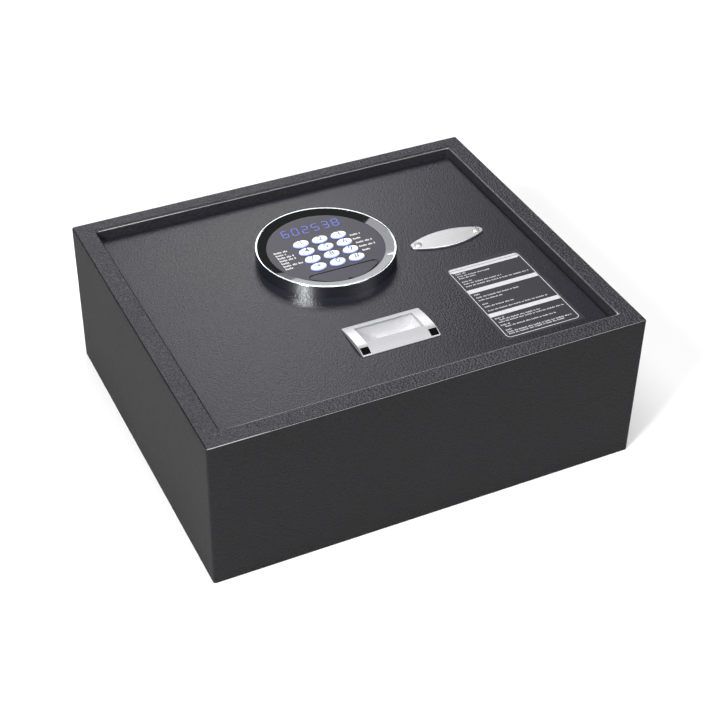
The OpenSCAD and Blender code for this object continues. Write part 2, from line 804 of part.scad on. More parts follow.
// Fascia: a moulded disc with openings for the keys, the display and the port
module fascia() {
    color([0.3, 0.29, 0.34]) difference() {
        translate([ring_x, ring_y, 0]) union() {
            translate([0, 0, fascia_bottom]) cylinder(r = fascia_r, h = fascia_t, $fn = 96);
            translate([0, 0, fascia_bottom])
                cylinder(r = fascia_flange_r, h = fascia_flange_t, $fn = 96);
        }
        for (row = key_rows, col = key_cols)
            translate([key_at(col, row)[0], key_at(col, row)[1], fascia_bottom - over])
                key_oval(fit, fascia_t + 2 * over);
        translate([ring_x, ring_y, 0]) {
            translate([-display_w / 2 - 0.2, display_y - display_d / 2 - 0.2, fascia_bottom - over])
                cube([display_w + 0.4, display_d + 0.4, fascia_t + 2 * over]);
            translate([0, 0, fascia_top - port_t - rest])
                linear_extrude(port_t + rest + over) port_outline(fit);
            translate([-port_well_w / 2, port_well_y - port_well_d / 2, fascia_bottom - over])
                cube([port_well_w, port_well_d, fascia_t]);
            translate([-port_corner_x - port_pin_l, port_axis_y, port_axis_z]) rotate([0, 90, 0])
                cylinder(r = port_pin_r + run, h = 2 * (port_corner_x + port_pin_l), $fn = 24);
        }
    }
}

// Smoked window over the display
module display_window() {
    color([0.1, 0.09, 0.16]) translate([ring_x, ring_y + display_y, window_top - window_t])
        linear_extrude(window_t) rounded(display_w, display_d, 0.5);
}

// Six figure display under the window
module display_module() {
    figures = 6;
    pitch = (display_w - 1) / figures;
    base = board_z + board_t;
    color([0.85, 0.86, 0.9]) translate([ring_x, ring_y + display_y, base]) {
        translate([-display_w / 2 + 0.4, -display_d / 2 + 0.4, 0])
            cube([display_w - 0.8, display_d - 0.8, 2.4]);
        for (i = [0:figures - 1])
            translate([(i - (figures - 1) / 2) * pitch - pitch * 0.45, -display_d / 2 + 0.7, 0])
                cube([pitch * 0.9, display_d - 1.4, window_top - window_t - base]);
    }
}

// Round circuit board of the keypad
module keypad_board() {
    color([0.1, 0.35, 0.2]) translate([ring_x, ring_y, board_z]) difference() {
        union() {
            cylinder(r = board_r, h = board_t, $fn = 96);
            translate([-8, 4, -board_plug_h]) cube([16, 6, board_plug_h + over / 2]);
        }
        for (a = [45:90:315]) rotate([0, 0, a]) translate([board_r - 5, 0, -over])
            cylinder(r = 1, h = board_t + 2 * over);
    }
}

// Silicone mat under the keys
module key_mat() {
    rows = len(key_rows) - 1;
    mat_l = rows * key_dy + key_d + 1.6;
    color([0.5, 0.52, 0.56])
        translate([ring_x, ring_y + key_top_y - rows * key_dy / 2, board_z + board_t])
            linear_extrude(mat_sheet_t) rounded(2 * key_dx + key_w + 3, mat_l, 3);
}

// Contact block in the service port
module service_port() {
    port_top = fascia_top - port_t - 0.6;
    base = board_z + board_t;
    color([0.1, 0.1, 0.11]) translate([ring_x, ring_y + port_well_y, base]) difference() {
        translate([-port_well_w / 2 + fit, -port_well_d / 2 + fit, 0])
            cube([port_well_w - 2 * fit, port_well_d - 2 * fit, port_top - base]);
        for (x = [-1, 1]) translate([x * 10, 0, port_top - base - 1])
            cylinder(r = 2.6, h = 1 + over);
    }
}

// Hinged D cover with a nail notch; its hinge edge is round
module port_cover() {
    notch_y = port_arc_y - port_arc_r;
    color([0.3, 0.29, 0.34]) translate([ring_x, ring_y, 0]) {
        difference() {
            translate([0, 0, fascia_top - port_t]) linear_extrude(port_t) difference() {
                port_outline(0);
                translate([-fascia_r, port_axis_y]) square([2 * fascia_r, port_t]);
                for (side = [0, 1]) mirror([side, 0])
                    translate([port_corner_x, port_axis_y - port_swing_gap]) square(port_corner_r + over);
            }
            translate([0, notch_y - 0.5, fascia_top - port_t - over])
                cylinder(r = 3, h = port_t + 2 * over);
        }
        translate([0, port_axis_y, port_axis_z]) rotate([0, 90, 0]) {
            translate([0, 0, -port_corner_x]) cylinder(r = port_t / 2, h = 2 * port_corner_x);
            translate([0, 0, -port_corner_x - port_pin_l + 0.2])
                cylinder(r = port_pin_r, h = 2 * (port_corner_x + port_pin_l - 0.2), $fn = 24);
        }
    }
}

// One key: a rounded oval with a flange that keeps it under the fascia
module key(col, row) {
    p = key_at(col, row);
    color([0.88, 0.92, 0.97]) translate([p[0], p[1], key_flange_z])
        key_oval(0, key_top - key_flange_z, key_round, true, [key_flange, key_flange_t]);
}

// Side view of the pull handle: low at the back, a crest, and a short fall to the front
module pull_profile() {
    rise = pull_crest - pull_edge_h;
    back_l = pull_back - crest_y;
    front_l = crest_y - pull_front;
    back_r = (back_l * back_l + rise * rise) / (2 * rise);
    front_r = (front_l * front_l + rise * rise) / (2 * rise);
    intersection() {
        translate([crest_y, lid_top + pull_crest - back_r]) circle(r = back_r, $fn = 360);
        translate([crest_y, lid_top]) square([back_l, pull_crest + over]);
    }
    intersection() {
        translate([crest_y, lid_top + pull_crest - front_r]) circle(r = front_r, $fn = 180);
        translate([pull_front, lid_top]) square([front_l, pull_crest + over]);
    }
}

// Handle profile drawn out to a width about the handle's middle
module pull_block(w) {
    translate([pull_x - w / 2, 0, 0]) rotate([90, 0, 90]) linear_extrude(w) pull_profile();
}

// Plan of one front corner insert
module insert_plan(side, g) {
    translate([pull_x + side * (pull_w / 2 - insert_edge - insert_w / 2),
        pull_front + insert_edge + insert_d / 2]) square([insert_w + 2 * g, insert_d + 2 * g], center = true);
}

// Polished frame round the finger opening
module handle_frame() {
    color([0.8, 0.81, 0.83]) difference() {
        intersection() {
            pull_block(pull_w);
            translate([pull_x, pull_y, lid_top - over]) linear_extrude(pull_crest + 3 * over)
                rounded(pull_w, pull_d, pull_r);
        }
        translate([pull_x - pull_open_w / 2, pull_front - over, lid_top - over])
            cube([pull_open_w, pull_open_back - pull_front + over, pull_crest + 3 * over]);
        for (side = [-1, 1]) {
            translate([0, 0, insert_floor]) linear_extrude(pull_crest) insert_plan(side, 0);
            translate([pull_x + side * pull_screw_x, pull_screw_y, lid_top - over])
                cylinder(d = screw_d + screw_slack, h = 1.8 + over);
        }
    }
}

// Outline of the finger cup's hollow, seen from the side; g is the wall's thickness
module cup_outline(g) {
    r = cup_cove_r + g;
    small_r = 5 + g;
    front = cup_front - g;
    back = cup_back + g;
    floor_z = cup_bottom - g;
    translate([front, floor_z + r]) square([back - front, cup_top - floor_z - r]);
    translate([front + small_r, floor_z]) square([back - front - r - small_r, r]);
    translate([front, floor_z + small_r]) square([small_r, r - small_r]);
    intersection() {
        translate([back - r, floor_z + r]) circle(r = r, $fn = 96);
        translate([back - r, floor_z]) square([r, r]);
    }
    intersection() {
        translate([front + small_r, floor_z + small_r]) circle(r = small_r);
        translate([front, floor_z]) square([small_r, small_r]);
    }
}

// Finger cup with a coved back wall, hung in the lid's opening
module handle_cup() {
    w = pull_open_w + 2 * cup_t;
    color([0.75, 0.76, 0.78]) difference() {
        translate([pull_x - w / 2, 0, 0]) rotate([90, 0, 90]) linear_extrude(w) cup_outline(cup_t);
        translate([pull_x - pull_open_w / 2, 0, 0]) rotate([90, 0, 90])
            linear_extrude(pull_open_w) union() {
                cup_outline(0);
                translate([cup_front, cup_top - over]) square([cup_back - cup_front, 2 * over]);
            }
    }
}

// Satin pull lip in front of the opening, with a turned-down edge for the fingers
module handle_lip() {
    lip_t = 1.6;
    color([0.7, 0.7, 0.72]) {
        intersection() {
            pull_block(pull_open_w);
            translate([pull_x - pull_open_w / 2, pull_front, lid_top])
                cube([pull_open_w, pull_open_front - pull_front, pull_crest + over]);
        }
        translate([pull_x - pull_open_w / 2 + 0.3, pull_open_front - lip_t, lid_top - 3])
            cube([pull_open_w - 0.6, lip_t, 3 + over]);
    }
}

// Glossy black squares in the frame's front corners
module handle_inserts() {
    color([0.03, 0.03, 0.03]) intersection() {
        pull_block(pull_w);
        translate([0, 0, insert_floor]) linear_extrude(pull_crest)
            for (side = [-1, 1]) insert_plan(side, -0.05);
    }
}

// Screws from below the lid into the handle's frame
module handle_screws() {
    color([0.6, 0.6, 0.62]) for (x = [-1, 1])
        translate([pull_x + x * pull_screw_x, pull_screw_y, lid_under]) screw(lid_t + 1.6);
}

// Oval plate over the key lock, with a bevelled edge
module cover_plate() {
    color([0.78, 0.78, 0.8]) translate([plate_x, plate_y, lid_top]) difference() {
        oval_plate(plate_w / 2, plate_d / 2, plate_end_r, plate_t, plate_bevel, end_lap = plate_end_lap);
        for (x = [-1, 1]) translate([x * plate_pitch / 2, 0, -over])
            cylinder(d = screw_d + screw_slack, h = plate_t + 2 * over);
    }
}

// Domed cross-recess screws of the oval plate
module cover_plate_screws() {
    head_r = 3.7;
    dome_r = 6;
    head_h = 1.7;
    color([0.75, 0.76, 0.78]) for (x = [-1, 1])
        translate([plate_x + x * plate_pitch / 2, plate_y, lid_top + plate_t]) difference() {
            union() {
                translate([0, 0, -plate_t - lid_t + 0.5]) cylinder(d = screw_d, h = plate_t + lid_t);
                intersection() {
                    cylinder(r = head_r, h = head_h);
                    translate([0, 0, head_h - dome_r]) sphere(r = dome_r, $fn = 64);
                }
            }
            rotate([0, 0, 20]) cross_recess(head_h, -1);
        }
}

// Film label on the lid
module use_label() {
    color([0.42, 0.42, 0.45]) translate([label_x, label_y, lid_top])
        linear_extrude(label_t) rounded(label_w, label_d, 1.5);
}

// Sheet pan under the lid that covers the bolt work
module lock_cover() {
    l = cover_back - cover_front;
    color([0.4, 0.4, 0.42]) difference() {
        translate([0, (cover_front + cover_back) / 2, cover_bottom]) difference() {
            union() {
                linear_extrude(cover_h) rounded(cover_w, l, cover_r);
                translate([0, 0, cover_h - cover_t]) linear_extrude(cover_t)
                    rounded(cover_w + 2 * cover_flange, l + 2 * cover_flange, cover_r);
            }
            translate([0, 0, cover_t]) linear_extrude(cover_h)
                rounded(cover_w - 2 * cover_t, l - 2 * cover_t, cover_r - cover_t);
        }
        for (x = [-1, 1]) translate([x * bolt_x, cover_front - over, bolt_z]) rotate([-90, 0, 0])
            cylinder(r = bolt_r + 0.6, h = cover_t + 2 * over);
        for (p = cover_screw_places) translate([p[0], p[1], lid_under - cover_t - over])
            cylinder(d = screw_d + screw_slack, h = cover_t + 2 * over);
        translate([pack_x - pack_w / 2, pack_y - pack_l / 2, cover_bottom - over])
            cube([pack_w, pack_l, cover_t + 2 * over]);
        translate([pack_x, pack_y + pack_l / 2 + door_over, cover_bottom - over])
            cylinder(d = screw_d + screw_slack, h = cover_t + 2 * over);
    }
}

// Screws that hold the pan to the lid
module lock_cover_screws() {
    color([0.6, 0.6, 0.62]) for (p = cover_screw_places)
        translate([p[0], p[1], lid_under - cover_t]) screw(cover_t + screw_bite);
}

// Guide blocks that the two bolts slide in
module bolt_guides() {
    color([0.55, 0.55, 0.57]) for (side = [-1, 1]) translate([side * bolt_x, guide_y, 0])
        difference() {
            union() {
                translate([-guide_w / 2, -guide_l / 2, bolt_z - bolt_r - 3])
                    cube([guide_w, guide_l, lid_under - bolt_z + bolt_r + 3]);
                translate([-guide_flange_w / 2, -guide_l / 2, lid_under - guide_flange_t])
                    cube([guide_flange_w, guide_l, guide_flange_t]);
            }
            translate([0, -guide_l / 2 - over, bolt_z]) rotate([-90, 0, 0])
                cylinder(r = bolt_r + run, h = guide_l + 2 * over, $fn = 64);
            for (x = [-1, 1])
                translate([x * guide_screw_x, 0, lid_under - guide_flange_t - over])
                    cylinder(d = screw_d + screw_slack, h = guide_flange_t + 2 * over);
        }
}

// Saddle that keeps the rack arm straight
module arm_guide() {
    slot_w = arm_w + 2 * gear_m + 0.4;
    wall = 3.5;
    low = rack_bottom - 3;
    color([0.85, 0.85, 0.82]) translate([arm_mid, arm_guide_y - arm_guide_l / 2, 0]) difference() {
        union() {
            translate([-slot_w / 2 - wall, 0, low])
                cube([slot_w + 2 * wall, arm_guide_l, lid_under - low]);
            translate([-arm_flange_w / 2, 0, lid_under - guide_flange_t])
                cube([arm_flange_w, arm_guide_l, guide_flange_t]);
        }
        translate([-slot_w / 2, -over, rack_bottom - 0.2])
            cube([slot_w, arm_guide_l + 2 * over, rack_t + 0.4]);
        for (x = [-1, 1])
            translate([x * arm_screw_x, arm_guide_l / 2, lid_under - guide_flange_t - over])
                cylinder(d = screw_d + screw_slack, h = guide_flange_t + 2 * over);
    }
}

// Flat gear motor that draws the bolts
module gear_motor() {
    color([0.65, 0.66, 0.68]) translate([drive_x, drive_y, 0]) difference() {
        union() {
            translate([0, 0, motor_bottom]) cylinder(r = motor_r, h = motor_h);
            translate([0, 0, motor_top]) cylinder(r = 4.8, h = bracket_t);
            translate([-motor_r - 2, -4, motor_bottom + 3]) cube([motor_r, 8, 5]);
        }
        translate([0, 0, motor_top - 8]) cylinder(r = shaft_r + run, h = 8 + bracket_t + over);
    }
}

// Folded bracket that hangs the motor from the lid
module motor_bracket() {
    color([0.7, 0.71, 0.73]) difference() {
        union() {
            translate([bracket_x, drive_y - bracket_w / 2, motor_top])
                cube([drive_x - bracket_x + motor_r, bracket_w, bracket_t]);
            translate([bracket_x, drive_y - bracket_w / 2, motor_top])
                cube([bracket_t, bracket_w, lid_under - motor_top]);
            translate([bracket_x - bracket_tab, drive_y - bracket_w / 2, lid_under - bracket_t])
                cube([bracket_tab + bracket_t, bracket_w, bracket_t]);
        }
        translate([drive_x, drive_y, motor_top - over]) cylinder(r = 5, h = bracket_t + 2 * over);
        for (p = bracket_screw_places) translate([p[0], p[1], lid_under - bracket_t - over])
            cylinder(d = screw_d + screw_slack, h = bracket_t + 2 * over);
    }
}

// Screws of the guides, the battery holder, the motor bracket and the battery door
module inner_screws() {
    color([0.6, 0.6, 0.62]) {
        for (p = inner_places) translate([p[0], p[1], lid_under - guide_flange_t])
            screw(guide_flange_t + screw_bite);
        for (p = bracket_screw_places) translate([p[0], p[1], lid_under - bracket_t])
            screw(bracket_t + screw_bite);
        translate([pack_x, pack_y + pack_l / 2 + door_over, cover_bottom - cover_t]) screw(5);
    }
}

// Body of the key lock, dropped in from the lid's face
module override_cylinder() {
    color([0.78, 0.7, 0.45]) translate([plate_x, plate_y, 0]) difference() {
        union() {
            translate([0, 0, lock_bottom]) cylinder(r = lock_r, h = lid_top - rest - lock_bottom);
            translate([0, 0, lid_top - rest - lock_flange_t])
                cylinder(r = lock_flange_r, h = lock_flange_t);
        }
        translate([0, 0, lock_bottom - over])
            cylinder(r = plug_r + run, h = lid_top - lock_bottom + 2 * over);
    }
}

// Nut that clamps the lock body under the lid
module override_nut() {
    color([0.75, 0.72, 0.6]) translate([plate_x, plate_y, lid_under - lock_nut_h]) difference() {
        cylinder(r = lock_nut_w / 2 / cos(30), h = lock_nut_h, $fn = 6);
        translate([0, 0, -over]) cylinder(r = lock_r + 0.02, h = lock_nut_h + 2 * over);
    }
}

// Turning plug with the key slot, and its tail
module override_plug() {
    color([0.8, 0.74, 0.5]) translate([plate_x, plate_y, 0]) difference() {
        union() {
            translate([0, 0, rack_top + 0.2])
                cylinder(r = plug_r, h = lid_top - 2 * rest - rack_top - 0.2);
            translate([0, 0, rack_bottom - hub_h])
                cylinder(r = plug_tail_r, h = rack_t + hub_h + 0.2 + over / 2);
        }
        translate([-0.8, -4, lid_top - 8]) cube([1.6, 8, 8 + over]);
    }
}

// Pinion on the plug's tail, with a hub
module override_pinion() {
    color([0.78, 0.7, 0.45]) translate([plate_x, plate_y, 0]) difference() {
        union() {
            translate([0, 0, rack_bottom]) linear_extrude(rack_t) pinion(override_teeth, 0);
            translate([0, 0, rack_bottom - hub_h]) cylinder(r = plug_r, h = hub_h);
        }
        translate([0, 0, rack_bottom - hub_h - over])
            cylinder(r = plug_tail_r + 0.02, h = rack_t + hub_h + 2 * over);
    }
}

// Pinion and shaft of the gear motor
module drive_pinion() {
    color([0.78, 0.7, 0.45]) translate([drive_x, drive_y, 0]) {
        translate([0, 0, rack_bottom]) linear_extrude(rack_t) pinion(drive_teeth, 180 / drive_teeth);
        translate([0, 0, motor_top - 7]) cylinder(r = shaft_r, h = rack_bottom - motor_top + 8);
    }
}

// Crossbar and rack arm; racks on both edges of the arm
module bolt_bar() {
    bar_x = bolt_x + bar_over;
    color([0.7, 0.71, 0.73]) difference() {
        union() {
            translate([-bar_x, bar_front, rack_bottom]) cube([2 * bar_x, bar_back - bar_front, rack_t]);
            for (x = [-1, 1]) translate([x * bolt_x - bar_over, bar_front, bolt_z - bolt_r])
                cube([2 * bar_over, bar_back - bar_front, bolt_d]);
            translate([0, 0, rack_bottom]) linear_extrude(rack_t) difference() {
                translate([arm_left - gear_m, bar_back - over])
                    square([arm_w + 2 * gear_m, arm_back - bar_back + over]);
                translate([arm_right, plate_y]) rack_gaps();
                translate([arm_left, drive_y]) mirror([1, 0]) rack_gaps();
                translate([bolt_x - bolt_nut_w / 2 / cos(30) - 0.7, bar_back])
                    square([bolt_nut_w, bolt_nut_h + 1.5]);
            }
        }
        for (x = [-1, 1]) translate([x * bolt_x, bar_front - over, bolt_z]) rotate([-90, 0, 0])
            cylinder(r = spigot_r + 0.05, h = bar_back - bar_front + 2 * over);
    }
}

// Two round bolts with a bevelled nose and a spigot through the bar
module bolts() {
    nose = 1.5;
    color([0.8, 0.81, 0.83]) for (x = [-1, 1]) translate([x * bolt_x, 0, bolt_z]) rotate([-90, 0, 0]) {
        translate([0, 0, bolt_front]) cylinder(r1 = bolt_r - nose, r2 = bolt_r, h = nose, $fn = 64);
        translate([0, 0, bolt_front + nose])
            cylinder(r = bolt_r, h = bar_front - bolt_front - nose, $fn = 64);
        translate([0, 0, bar_front]) cylinder(r = spigot_r, h = bar_back - bar_front + bolt_nut_h);
    }
}

// Nuts behind the bar
module bolt_nuts() {
    color([0.75, 0.72, 0.6]) for (x = [-1, 1])
        translate([x * bolt_x, bar_back, bolt_z]) rotate([-90, 0, 0]) difference() {
            cylinder(r = bolt_nut_w / 2 / cos(30), h = bolt_nut_h, $fn = 6);
            translate([0, 0, -over]) cylinder(r = spigot_r + 0.05, h = bolt_nut_h + 2 * over);
        }
}

// Battery holder: an open-bottomed tray hung from the lid by two lugs
module battery_holder() {
    color([0.1, 0.1, 0.11]) translate([pack_x, pack_y, 0]) difference() {
        union() {
            translate([-pack_w / 2, -pack_l / 2, pack_bottom])
                cube([pack_w, pack_l, pack_top - pack_bottom]);
            for (s = [-1, 1]) {
                translate([-9, s * (pack_l / 2 - 1) - 1, pack_bottom])
                    cube([18, 2, lid_under - pack_bottom]);
                translate([-9, s > 0 ? pack_l / 2 - 1 : -pack_l / 2 - lug_l, lid_under - guide_flange_t])
                    cube([18, lug_l + 1, guide_flange_t]);
            }
        }
        translate([-pack_w / 2 + pack_t, -pack_l / 2 + pack_t, pack_bottom - over])
            cube([pack_w - 2 * pack_t, pack_l - 2 * pack_t, pack_top - pack_t - pack_bottom + over]);
        for (s = [-1, 1])
            translate([0, s * (pack_l / 2 + lug_l / 2), lid_under - guide_flange_t - over])
                cylinder(d = screw_d + screw_slack, h = guide_flange_t + 2 * over);
    }
}

// Four cells side by side, each second one turned round
module batteries() {
    color([0.2, 0.25, 0.3]) for (i = [0:cells - 1])
        translate([pack_x + (i - (cells - 1) / 2) * (cell_pitch - 0.4), pack_y,
            pack_top - pack_t - cell_r - rest])
            mirror([0, i % 2, 0]) rotate([-90, 0, 0]) {
                translate([0, 0, -cell_l / 2]) cylinder(r = cell_r, h = cell_l - 1.2);
                translate([0, 0, cell_l / 2 - 1.2]) cylinder(r = 2.75, h = 1.2);
            }
}

// Door over the battery opening in the pan
module battery_door() {
    w = pack_w + 2 * door_over;
    l = pack_l + 4 * door_over;
    color([0.4, 0.4, 0.42]) difference() {
        translate([pack_x, pack_y, cover_bottom - cover_t]) {
            linear_extrude(cover_t) rounded(w, l, 3);
            translate([-pack_w / 2 + 1, -pack_l / 2 + 1, 0])
                cube([pack_w - 2, pack_l - 2, 2 * cover_t]);
        }
        translate([pack_x, pack_y + pack_l / 2 + door_over, cover_bottom - cover_t - over])
            cylinder(d = screw_d + screw_slack, h = cover_t + 2 * over);
    }
}

// Lock controller, with its parts below and spacers up to the lid
module control_board() {
    z = lid_under - spacer_h - board_t;
    color([0.1, 0.35, 0.2]) translate([control_x, control_y, z]) {
        translate([-control_w / 2, -control_d / 2, 0]) cube([control_w, control_d, board_t]);
        for (x = [-1, 1], y = [-1, 1])
            translate([x * (control_w / 2 - 4), y * (control_d / 2 - 4), board_t / 2])
                cylinder(r = 3, h = spacer_h + board_t / 2);
        for (b = board_blocks) translate([b[0], b[1], -b[4]]) cube([b[2], b[3], b[4] + board_t / 2]);
        translate([-12, -8, -board_can_h]) cylinder(r = board_can_r, h = board_can_h + board_t / 2);
    }
}

body_shell();
base_plate();
floor_mat();
hinge_brackets();
hinge_pins();
hinge_clips();
lid_rest_tabs();
lid_buffers();
lid_plate();
hinge_ears();
bezel_ring();
keypad_base();
keypad_nuts();
fascia();
display_window();
display_module();
keypad_board();
key_mat();
service_port();
port_cover();
key(-1, 0);  // key_1
key(0, 0);  // key_2
key(1, 0);  // key_3
key(-1, 1);  // key_4
key(0, 1);  // key_5
key(1, 1);  // key_6
key(-1, 2);  // key_7
key(0, 2);  // key_8
key(1, 2);  // key_9
key(-1, 3);  // key_star
key(0, 3);  // key_0
key(1, 3);  // key_hash
handle_frame();
handle_cup();
handle_lip();
handle_inserts();
handle_screws();
cover_plate();
cover_plate_screws();
use_label();
lock_cover();
lock_cover_screws();
bolt_guides();
arm_guide();
gear_motor();
motor_bracket();
inner_screws();
override_cylinder();
override_nut();
battery_holder();
batteries();
battery_door();
control_board();
bolt_bar();
bolts();
bolt_nuts();
drive_pinion();
override_plug();
override_pinion();
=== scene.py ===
"""Looks of a drawer safe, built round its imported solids.

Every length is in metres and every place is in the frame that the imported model
sets: the origin under the middle of the case, +X to the right, +Y to the back.
"""

import logging
import math
from dataclasses import dataclass, field
from enum import Enum
from typing import Any

import bmesh
import bpy
from bmesh.types import BMesh
from mathutils import Matrix, Vector


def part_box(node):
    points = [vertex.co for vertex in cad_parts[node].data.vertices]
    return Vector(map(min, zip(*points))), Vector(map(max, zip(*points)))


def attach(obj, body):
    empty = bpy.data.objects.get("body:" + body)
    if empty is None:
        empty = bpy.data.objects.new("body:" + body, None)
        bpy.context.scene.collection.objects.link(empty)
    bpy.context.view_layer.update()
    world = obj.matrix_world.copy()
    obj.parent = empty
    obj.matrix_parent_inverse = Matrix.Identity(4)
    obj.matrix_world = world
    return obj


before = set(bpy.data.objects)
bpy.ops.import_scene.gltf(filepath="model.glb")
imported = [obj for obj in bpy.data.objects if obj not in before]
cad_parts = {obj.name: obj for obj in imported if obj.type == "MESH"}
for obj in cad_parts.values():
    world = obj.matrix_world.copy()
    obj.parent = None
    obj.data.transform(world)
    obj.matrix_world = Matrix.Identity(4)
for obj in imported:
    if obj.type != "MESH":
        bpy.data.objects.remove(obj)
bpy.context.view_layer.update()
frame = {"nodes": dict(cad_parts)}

MM = 0.001
NOISE_SPREAD = (0.3, 0.7)  # where most values of a noise lie
BOLDNESS = 0.018  # how far the figures' outlines are widened, as a share of their size
Pair = tuple[float, float]
Triple = tuple[float, float, float]
Outline = list[Pair]
Coats = tuple[tuple[str, ...], ...]
log = logging.getLogger("drawer_safe")


class Body(Enum):
    """The moving bodies that new pieces ride on, apart from the keys' own."""

    LID = "lid"
    PORT_COVER = "port_cover"


class Slot(Enum):
    """Material slots of the record; no new piece takes its finish from them."""

    DISPLAY_GLASS = "display_glass"
    DISPLAY_WHITE = "display_white"
    KEY_WHITE = "key_white"
    LABEL_FILM = "label_film"
    BLACK_PLASTIC = "black_plastic"


# ---- materials


class Wire:
    """A socket of a node tree that takes part in Python's own arithmetic."""

    def __init__(self, tree: bpy.types.NodeTree, socket: bpy.types.NodeSocket) -> None:
        """Keeps an output socket and the tree that it is in."""
        self.tree = tree
        self.socket = socket

    def _math(self, operation: str, first: Any, second: Any = None) -> "Wire":
        """Adds one Math node.

        Args:
            operation: name of the Math node's operation.
            first: first value or wire.
            second: second value or wire, if the operation has one.

        Returns:
            The node's output.
        """
        node = self.tree.nodes.new("ShaderNodeMath")
        node.operation = operation
        for place, value in enumerate((first, second)):
            if isinstance(value, Wire):
                self.tree.links.new(value.socket, node.inputs[place])
            elif value is not None:
                node.inputs[place].default_value = value
        return Wire(self.tree, node.outputs[0])

    def __add__(self, other: Any) -> "Wire":
        """Sum."""
        return self._math("ADD", self, other)

    def __radd__(self, other: Any) -> "Wire":
        """Sum with the wire on the right."""
        return self._math("ADD", other, self)

    def __sub__(self, other: Any) -> "Wire":
        """Difference."""
        return self._math("SUBTRACT", self, other)

    def __rsub__(self, other: Any) -> "Wire":
        """Difference with the wire on the right."""
        return self._math("SUBTRACT", other, self)

    def __mul__(self, other: Any) -> "Wire":
        """Product."""
        return self._math("MULTIPLY", self, other)

    def __rmul__(self, other: Any) -> "Wire":
        """Product with the wire on the right."""
        return self._math("MULTIPLY", other, self)

    def __abs__(self) -> "Wire":
        """Size without sign."""
        return self._math("ABSOLUTE", self)


class Recipe:
    """Node tree of one material."""

    def __init__(self, name: str) -> None:
        """Starts an empty tree.

        Args:
            name: name of the material.
        """
        self.material = bpy.data.materials.new(name)
        self.material.use_nodes = True
        self.tree = self.material.node_tree
        self.tree.nodes.clear()

    def node(self, kind: str, settings: dict[str, Any] | None = None,
             inputs: dict[str | int, Any] | None = None, out: str | int = 0) -> Wire:
        """Adds any one node.

        Args:
            kind: type of the node, without its leading ShaderNode.
            settings: its settings, set first.
            inputs: value or wire of each socket, by name or place.
            out: the output that is wanted.

        Returns:
            That output.
        """
        node = self.tree.nodes.new("ShaderNode" + kind)
        for key, value in (settings or {}).items():
            setattr(node, key, value)
        for key, value in (inputs or {}).items():
            if isinstance(value, Wire):
                self.tree.links.new(value.socket, node.inputs[key])
            elif isinstance(value, tuple) and len(value) == 3 and node.inputs[key].type == "RGBA":
                node.inputs[key].default_value = (*value, 1)
            else:
                node.inputs[key].default_value = value
        return Wire(self.tree, node.outputs[out])

    def place(self, stretch: Triple = (1, 1, 1), turn: float = 0.0) -> Wire:
        """Object coordinates in metres, turned about Z by degrees and stretched."""
        raw = self.node("TexCoord", out="Object")
        return self.node("Mapping", {"vector_type": "POINT"}, {
            "Vector": raw, "Scale": stretch, "Rotation": (0, 0, math.radians(turn))})

    def noise(self, where: Wire, scale: float, detail: float = 2.0) -> Wire:
        """Noise between 0 and 1, at a scale in cells a metre."""
        return self.node("TexNoise", {"noise_dimensions": "3D"},
                         {"Vector": where, "Scale": scale, "Detail": detail})

    def range(self, value: Wire, low: float, high: float,
              lowest: float = 0.0, highest: float = 1.0) -> Wire:
        """Carries low to lowest and high to highest, and stops at these ends."""
        ends = {"From Min": low, "From Max": high, "To Min": lowest, "To Max": highest}
        return self.node("MapRange", {"clamp": True}, {"Value": value, **ends})

    def spread(self, noise: Wire, lowest: float = 0.0, highest: float = 1.0) -> Wire:
        """Carries the values that a noise mostly has to another range."""
        return self.range(noise, *NOISE_SPREAD, lowest, highest)

    def rough(self, noise: Wire, gloss: float, vary: Pair) -> Wire:
        """Roughness that a noise varies about its mean."""
        return self.spread(noise, gloss + vary[0], gloss + vary[1])

    def fall(self, value: Wire, low: float, high: float) -> Wire:
        """Mask that is 1 up to one value and 0 from another on."""
        return self.range(value, low, high, 1.0, 0.0)

    def mix(self, share: Any, first: Any, second: Any, kind: str = "MIX") -> Wire:
        """Blends two colours, with that share of the second one."""
        return self.node("Mix", {"data_type": "RGBA", "blend_type": kind},
                         {0: share, 6: first, 7: second}, out=2)

    def bump(self, height: Wire, depth: float, strength: float = 1.0) -> Wire:
        """Normal of a relief in which a height of 1 is depth metres."""
        return self.node("Bump", None,
                         {"Height": height, "Distance": depth, "Strength": strength})

    def finish(self, **sockets: Any) -> bpy.types.Material:
        """Closes the tree with one surface.

        Args:
            **sockets: values or wires of the surface's sockets, with _ for a space.

        Returns:
            The finished material.
        """
        surface = self.node("BsdfPrincipled", None,
                            {key.replace("_", " "): value for key, value in sockets.items()})
        last = self.tree.nodes.new("ShaderNodeOutputMaterial")
        self.tree.links.new(surface.socket, last.inputs["Surface"])
        return self.material


def linear(*levels: float) -> tuple[float, ...]:
    """Turns screen levels of sRGB (above 10, up to 255) into linear light."""
    return tuple(((v / 255 + 0.055) / 1.055) ** 2.4 for v in levels)


def dimmed(colour: tuple[float, ...], share: float) -> tuple[float, ...]:
    """A linear colour at that share of its brightness."""
    return tuple(share * c for c in colour)


@dataclass(frozen=True)
class Finish:
    """What every finish has.

    Attributes:
        name: name of the material.
        colour: its main linear colour.
    """

    name: str
    colour: Triple

    def mottle(self, r: Recipe, noise: Wire, shade: float) -> Wire:
        """The colour, and that share of its brightness where a noise is low."""
        return r.mix(r.spread(noise), dimmed(self.colour, shade), self.colour)


